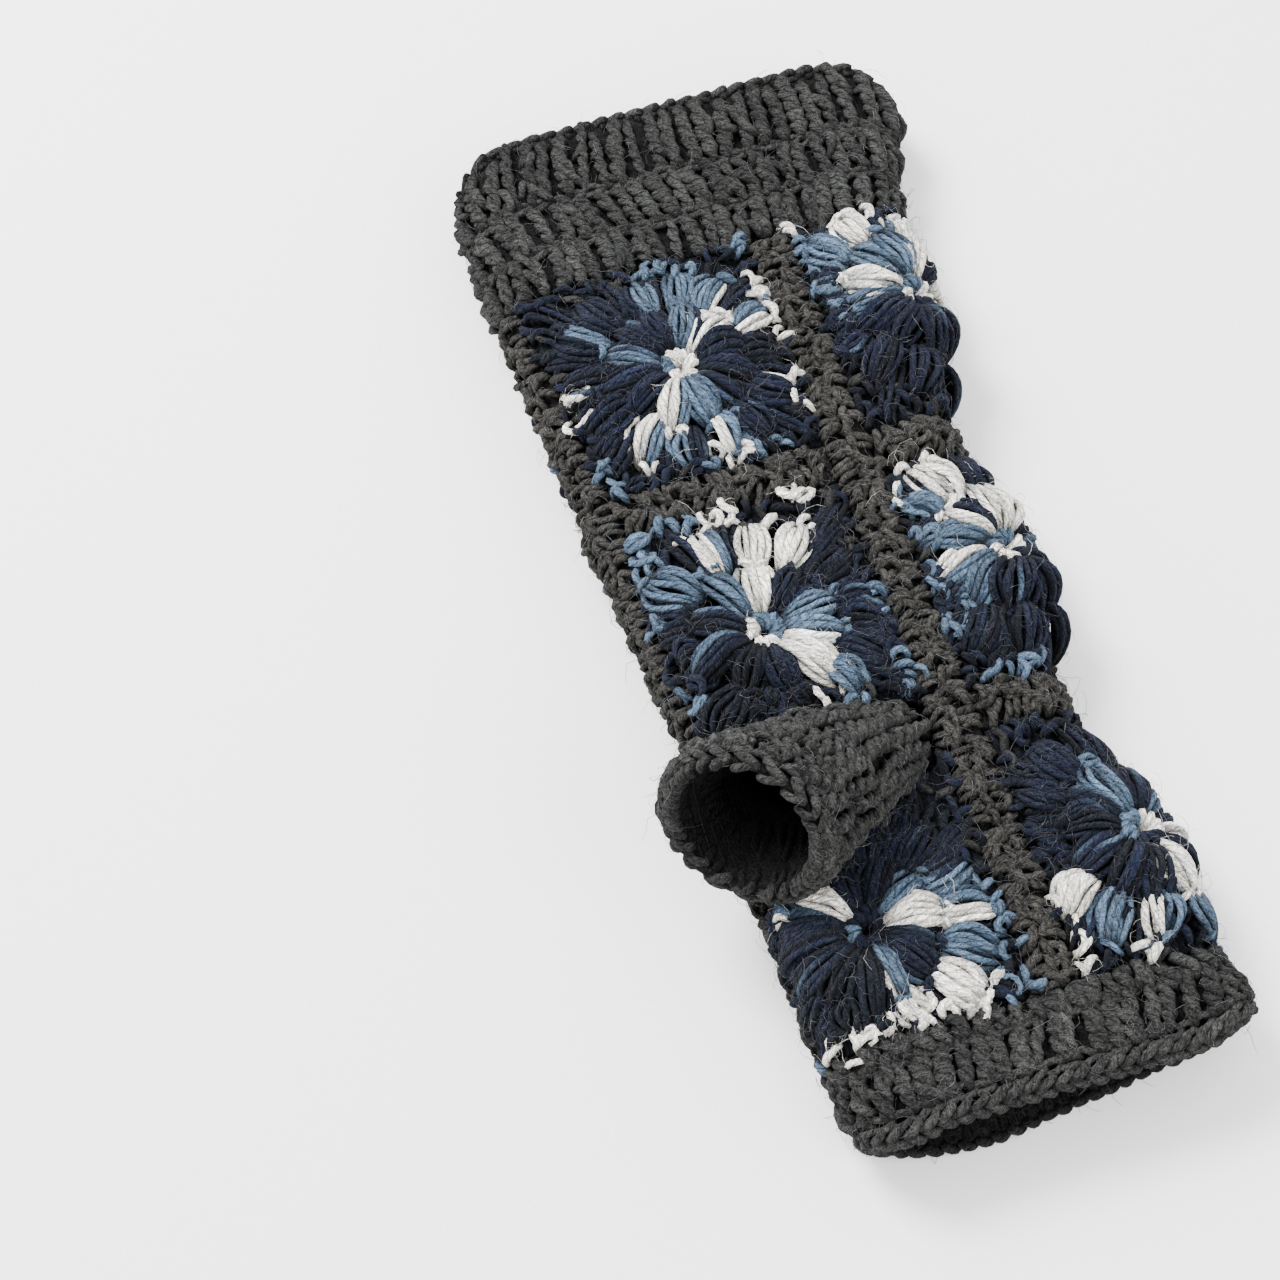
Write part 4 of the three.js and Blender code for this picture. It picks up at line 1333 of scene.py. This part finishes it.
# ---------------------------------------------------------------------------------------
# materials
# ---------------------------------------------------------------------------------------
def wool_material(name, rough, streak, hair, plies, twist, coarse, mottle):
    """Matt wool: fibres along the strand, twisted plies, and fine curly hairs over it all."""
    mat = bpy.data.materials.new(name)
    mat.use_nodes = True
    nt = mat.node_tree
    nt.nodes.clear()
    new, link = nt.nodes.new, nt.links.new

    def maths(op, a, b=None, c=None, clamp=False):
        node = new("ShaderNodeMath")
        node.operation = op
        node.use_clamp = clamp
        for i, v in enumerate((a, b, c)):
            if v is None:
                continue
            if isinstance(v, (int, float)):
                node.inputs[i].default_value = v
            else:
                link(v, node.inputs[i])
        return node.outputs[0]

    def noise(vector, scale, detail, rough_n=0.5, w=None):
        node = new("ShaderNodeTexNoise")
        if w is not None:
            node.noise_dimensions = "4D"
            node.inputs["W"].default_value = w
        node.inputs["Scale"].default_value = scale
        node.inputs["Detail"].default_value = detail
        node.inputs["Roughness"].default_value = rough_n
        link(vector, node.inputs["Vector"])
        return node.outputs["Fac"]

    def ranged(value, a, b, c, d, smoothly=False):
        node = new("ShaderNodeMapRange")
        node.interpolation_type = "SMOOTHSTEP" if smoothly else "LINEAR"
        for key, v in (("From Min", a), ("From Max", b), ("To Min", c), ("To Max", d)):
            node.inputs[key].default_value = v
        link(value, node.inputs["Value"])
        return node.outputs["Result"]

    def scaled(vector, scale):
        node = new("ShaderNodeMapping")
        node.inputs["Scale"].default_value = scale
        link(vector, node.inputs["Vector"])
        return node.outputs["Vector"]

    out = new("ShaderNodeOutputMaterial")
    bsdf = new("ShaderNodeBsdfPrincipled")
    link(bsdf.outputs["BSDF"], out.inputs["Surface"])
    bsdf.inputs["Roughness"].default_value = rough
    bsdf.inputs["Specular IOR Level"].default_value = 0.05
    bsdf.inputs["Sheen Weight"].default_value = 0.03
    bsdf.inputs["Sheen Roughness"].default_value = 0.5
    # the vertex colours: yarn colour with painted shade multiplied in
    dye = new("ShaderNodeAttribute")
    dye.attribute_name = "dye"
    yarn = new("ShaderNodeAttribute")
    yarn.attribute_name = "yarn"
    place = new("ShaderNodeTexCoord").outputs["Object"]
    mm = scaled(place, (1000.0, 1000.0, 1000.0))

    # fibres: noise stretched along the strand, and a slow change of shade
    split = new("ShaderNodeSeparateXYZ")
    link(yarn.outputs["Vector"], split.inputs["Vector"])
    angle = maths("ARCTAN2", split.outputs["Z"], split.outputs["Y"])
    turned = maths("MULTIPLY_ADD", split.outputs["X"], twist, angle)
    wound = new("ShaderNodeCombineXYZ")
    link(split.outputs["X"], wound.inputs["X"])
    link(maths("COSINE", turned), wound.inputs["Y"])
    link(maths("SINE", turned), wound.inputs["Z"])
    fine = noise(scaled(wound.outputs["Vector"], (0.42, 1.35, 1.35)), 2.4, 3.5, 0.62)
    grain = noise(mm, coarse, 3.0, 0.75)
    slow = noise(scaled(yarn.outputs["Vector"], (0.16, 0.3, 0.3)), 1.0, 2.0)
    shade = maths("MULTIPLY", ranged(fine, 0.36, 0.66, 1 - streak, 1 + streak * 2.0), ranged(slow, 0.3, 0.7, 0.72, 1.32))
    shade = maths("MULTIPLY", shade, ranged(grain, 0.38, 0.64, 1 - mottle, 1 + 1.5 * mottle))

    # plies twisted round each other
    ply = maths("ABSOLUTE", maths("SINE", maths("MULTIPLY", turned, plies / 2)))
    ply_shade = ranged(ply, 0.0, 0.6, 0.55, 1.06, True)
    shade = maths("MULTIPLY", shade, ply_shade)

    # curly hairs: thin level lines of slow noises
    lines = None
    for w, scale, wide in ((0.0, 0.32, 0.017), (7.3, 0.46, 0.021), (19.1, 0.24, 0.013), (31.7, 0.60, 0.024)):
        field = noise(mm, scale, 1.6, 0.55, w)
        off = maths("ABSOLUTE", maths("SUBTRACT", field, 0.5))
        line = ranged(off, wide * 0.35, wide, 1.0, 0.0, True)
        mask = ranged(noise(mm, 0.16, 1.0, 0.5, w + 3.0), 0.46, 0.56, 0.0, 1.0, True)
        line = maths("MULTIPLY", line, mask)
        lines = line if lines is None else maths("MAXIMUM", lines, line)

    tint = new("ShaderNodeVectorMath")
    tint.operation = "SCALE"
    link(dye.outputs["Color"], tint.inputs[0])
    link(shade, tint.inputs["Scale"])
    lift = new("ShaderNodeVectorMath")
    lift.operation = "SCALE"
    link(dye.outputs["Color"], lift.inputs[0])
    lift.inputs["Scale"].default_value = 3.6
    haze = new("ShaderNodeVectorMath")
    haze.operation = "MINIMUM"
    link(lift.outputs["Vector"], haze.inputs[0])
    haze.inputs[1].default_value = (0.018, 0.0185, 0.020)
    light = new("ShaderNodeVectorMath")
    light.operation = "MULTIPLY_ADD"
    link(dye.outputs["Color"], light.inputs[0])
    light.inputs[1].default_value = (2.3, 2.2, 2.0)
    link(haze.outputs["Vector"], light.inputs[2])
    capped = new("ShaderNodeVectorMath")
    capped.operation = "MINIMUM"
    link(light.outputs["Vector"], capped.inputs[0])
    capped.inputs[1].default_value = (0.90, 0.88, 0.84)
    mix = new("ShaderNodeMix")
    mix.data_type = "RGBA"
    link(maths("MULTIPLY", lines, hair), mix.inputs["Factor"])
    link(tint.outputs["Vector"], mix.inputs["A"])
    link(capped.outputs["Vector"], mix.inputs["B"])
    link(mix.outputs["Result"], bsdf.inputs["Base Color"])

    # relief: fibres, plies and hairs
    height = maths("MULTIPLY_ADD", ranged(ply, 0.0, 0.7, 0.0, 1.0, True), 0.55, maths("MULTIPLY", fine, 0.9))
    height = maths("MULTIPLY_ADD", grain, 0.5, height)
    height = maths("MULTIPLY_ADD", lines, 0.35, height)
    bump = new("ShaderNodeBump")
    bump.inputs["Strength"].default_value = 1.0
    bump.inputs["Distance"].default_value = 0.0011
    link(height, bump.inputs["Height"])
    link(bump.outputs["Normal"], bsdf.inputs["Normal"])
    return mat


flower_wool = wool_material("flower_wool_yarn", 0.92, 0.4, 0.68, 3, 0.75, 1.8, 0.42)
charcoal_wool = wool_material("charcoal_wool_yarn", 0.94, 0.7, 0.95, 3, 1.0, 1.2, 0.52)


# ---------------------------------------------------------------------------------------
# pieces
# ---------------------------------------------------------------------------------------
made = 0


def finish_piece(cloth, node, slot):
    global made
    ob = cloth.build(node + "_yarn", flower_wool if slot == "flower_wool" else charcoal_wool)
    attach(ob, "root")
    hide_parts(node)
    made += cloth.triangles
    print(node, "triangles", cloth.triangles)
    return ob


for row in ROWS:
    for column in COLUMNS:
        finish_piece(square_piece(row, column), f"square_{row}_{column}", "flower_wool")
finish_piece(seam_along(0.0, FUZZ["seam"]), "seam_upper", "charcoal_wool")
finish_piece(seam_along(COLUMNS["right"][1], FUZZ["seam"] // 4, 3.4), "seam_under", "charcoal_wool")
finish_piece(seam_along(COLUMNS["left"][0], FUZZ["seam"] // 2, 2.8), "seam_left_fold", "charcoal_wool")
for s0, where_to, column in (
    (RINGS[0], "hand", "right"),
    (RINGS[0], "hand", "under"),
    (RINGS[1], "arm", "left"),
    (RINGS[1], "arm", "right"),
    (RINGS[1], "arm", "under"),
):
    finish_piece(
        seam_ring(s0, column, FUZZ["ring"] // (3 if column == "under" else 1)),
        f"seam_ring_{where_to}_{column}",
        "charcoal_wool",
    )
finish_piece(band_piece("hand", 0.6, HAND_JOIN - 0.3, ((5.6, 12.4), (18.2, 5.0)), 46, FUZZ["band_hand"]), "band_hand", "charcoal_wool")
finish_piece(
    band_piece(
        "arm", ARM_JOIN + 0.3, LENGTH - 0.6,
        ((ARM_JOIN - 0.5, 13.0), (ARM_JOIN + 13.6, 14.2), (ARM_JOIN + 28.8, 19.5)), 52, FUZZ["band_arm"],
    ),
    "band_arm",
    "charcoal_wool",
)
finish_piece(thumb_piece(FUZZ["thumb"]), "thumb", "charcoal_wool")
print("triangles in all", made)

# ---------------------------------------------------------------------------------------
# floor, light and camera
# ---------------------------------------------------------------------------------------
me = bpy.data.meshes.new("floor")
half = 6.0
me.from_pydata(
    [(-half, -half, 0), (half, -half, 0), (half, half, 0), (-half, half, 0)], [], [(0, 1, 2, 3)]
)
floor = bpy.data.objects.new("floor", me)
bpy.context.scene.collection.objects.link(floor)
mat = bpy.data.materials.new("pale_floor")
mat.use_nodes = True
b = mat.node_tree.nodes["Principled BSDF"]
b.inputs["Base Color"].default_value = (0.9, 0.9, 0.9, 1)
b.inputs["Roughness"].default_value = 0.95
b.inputs["Specular IOR Level"].default_value = 0.1
me.materials.append(mat)

world = bpy.data.worlds.new("studio")
bpy.context.scene.world = world
world.use_nodes = True
world.node_tree.nodes["Background"].inputs["Color"].default_value = (1, 1, 1, 1)
world.node_tree.nodes["Background"].inputs["Strength"].default_value = 2.2


def softbox(name, where, target, size, power):
    light = bpy.data.lights.new(name, "AREA")
    light.shape = "SQUARE"
    light.size = size
    light.energy = power
    ob = bpy.data.objects.new(name, light)
    ob.location = where
    ob.rotation_euler = (Vector(target) - Vector(where)).to_track_quat("-Z", "Y").to_euler()
    bpy.context.scene.collection.objects.link(ob)


softbox("key", (-0.55, 0.75, 1.15), (0, 0, 0.02), 0.6, 60.0)
softbox("fill", (0.6, -0.8, 1.0), (0, 0, 0.02), 0.9, 12.0)

cam_data = bpy.data.cameras.new("photo_camera")
cam_data.sensor_width = 36.0
cam_data.sensor_fit = "HORIZONTAL"
cam_data.lens = 87.08
cam = bpy.data.objects.new("photo_camera", cam_data)
cam.location = (-0.15544, -0.34266, 0.7128)
cam.rotation_mode = "QUATERNION"
cam.rotation_quaternion = (Vector((-0.04914, 0.00464, 0.0)) - cam.location).to_track_quat("-Z", "Y")
cam_data.clip_start, cam_data.clip_end = 0.01, 50
bpy.context.scene.collection.objects.link(cam)
bpy.context.scene.camera = cam

bpy.context.view_layer.update()
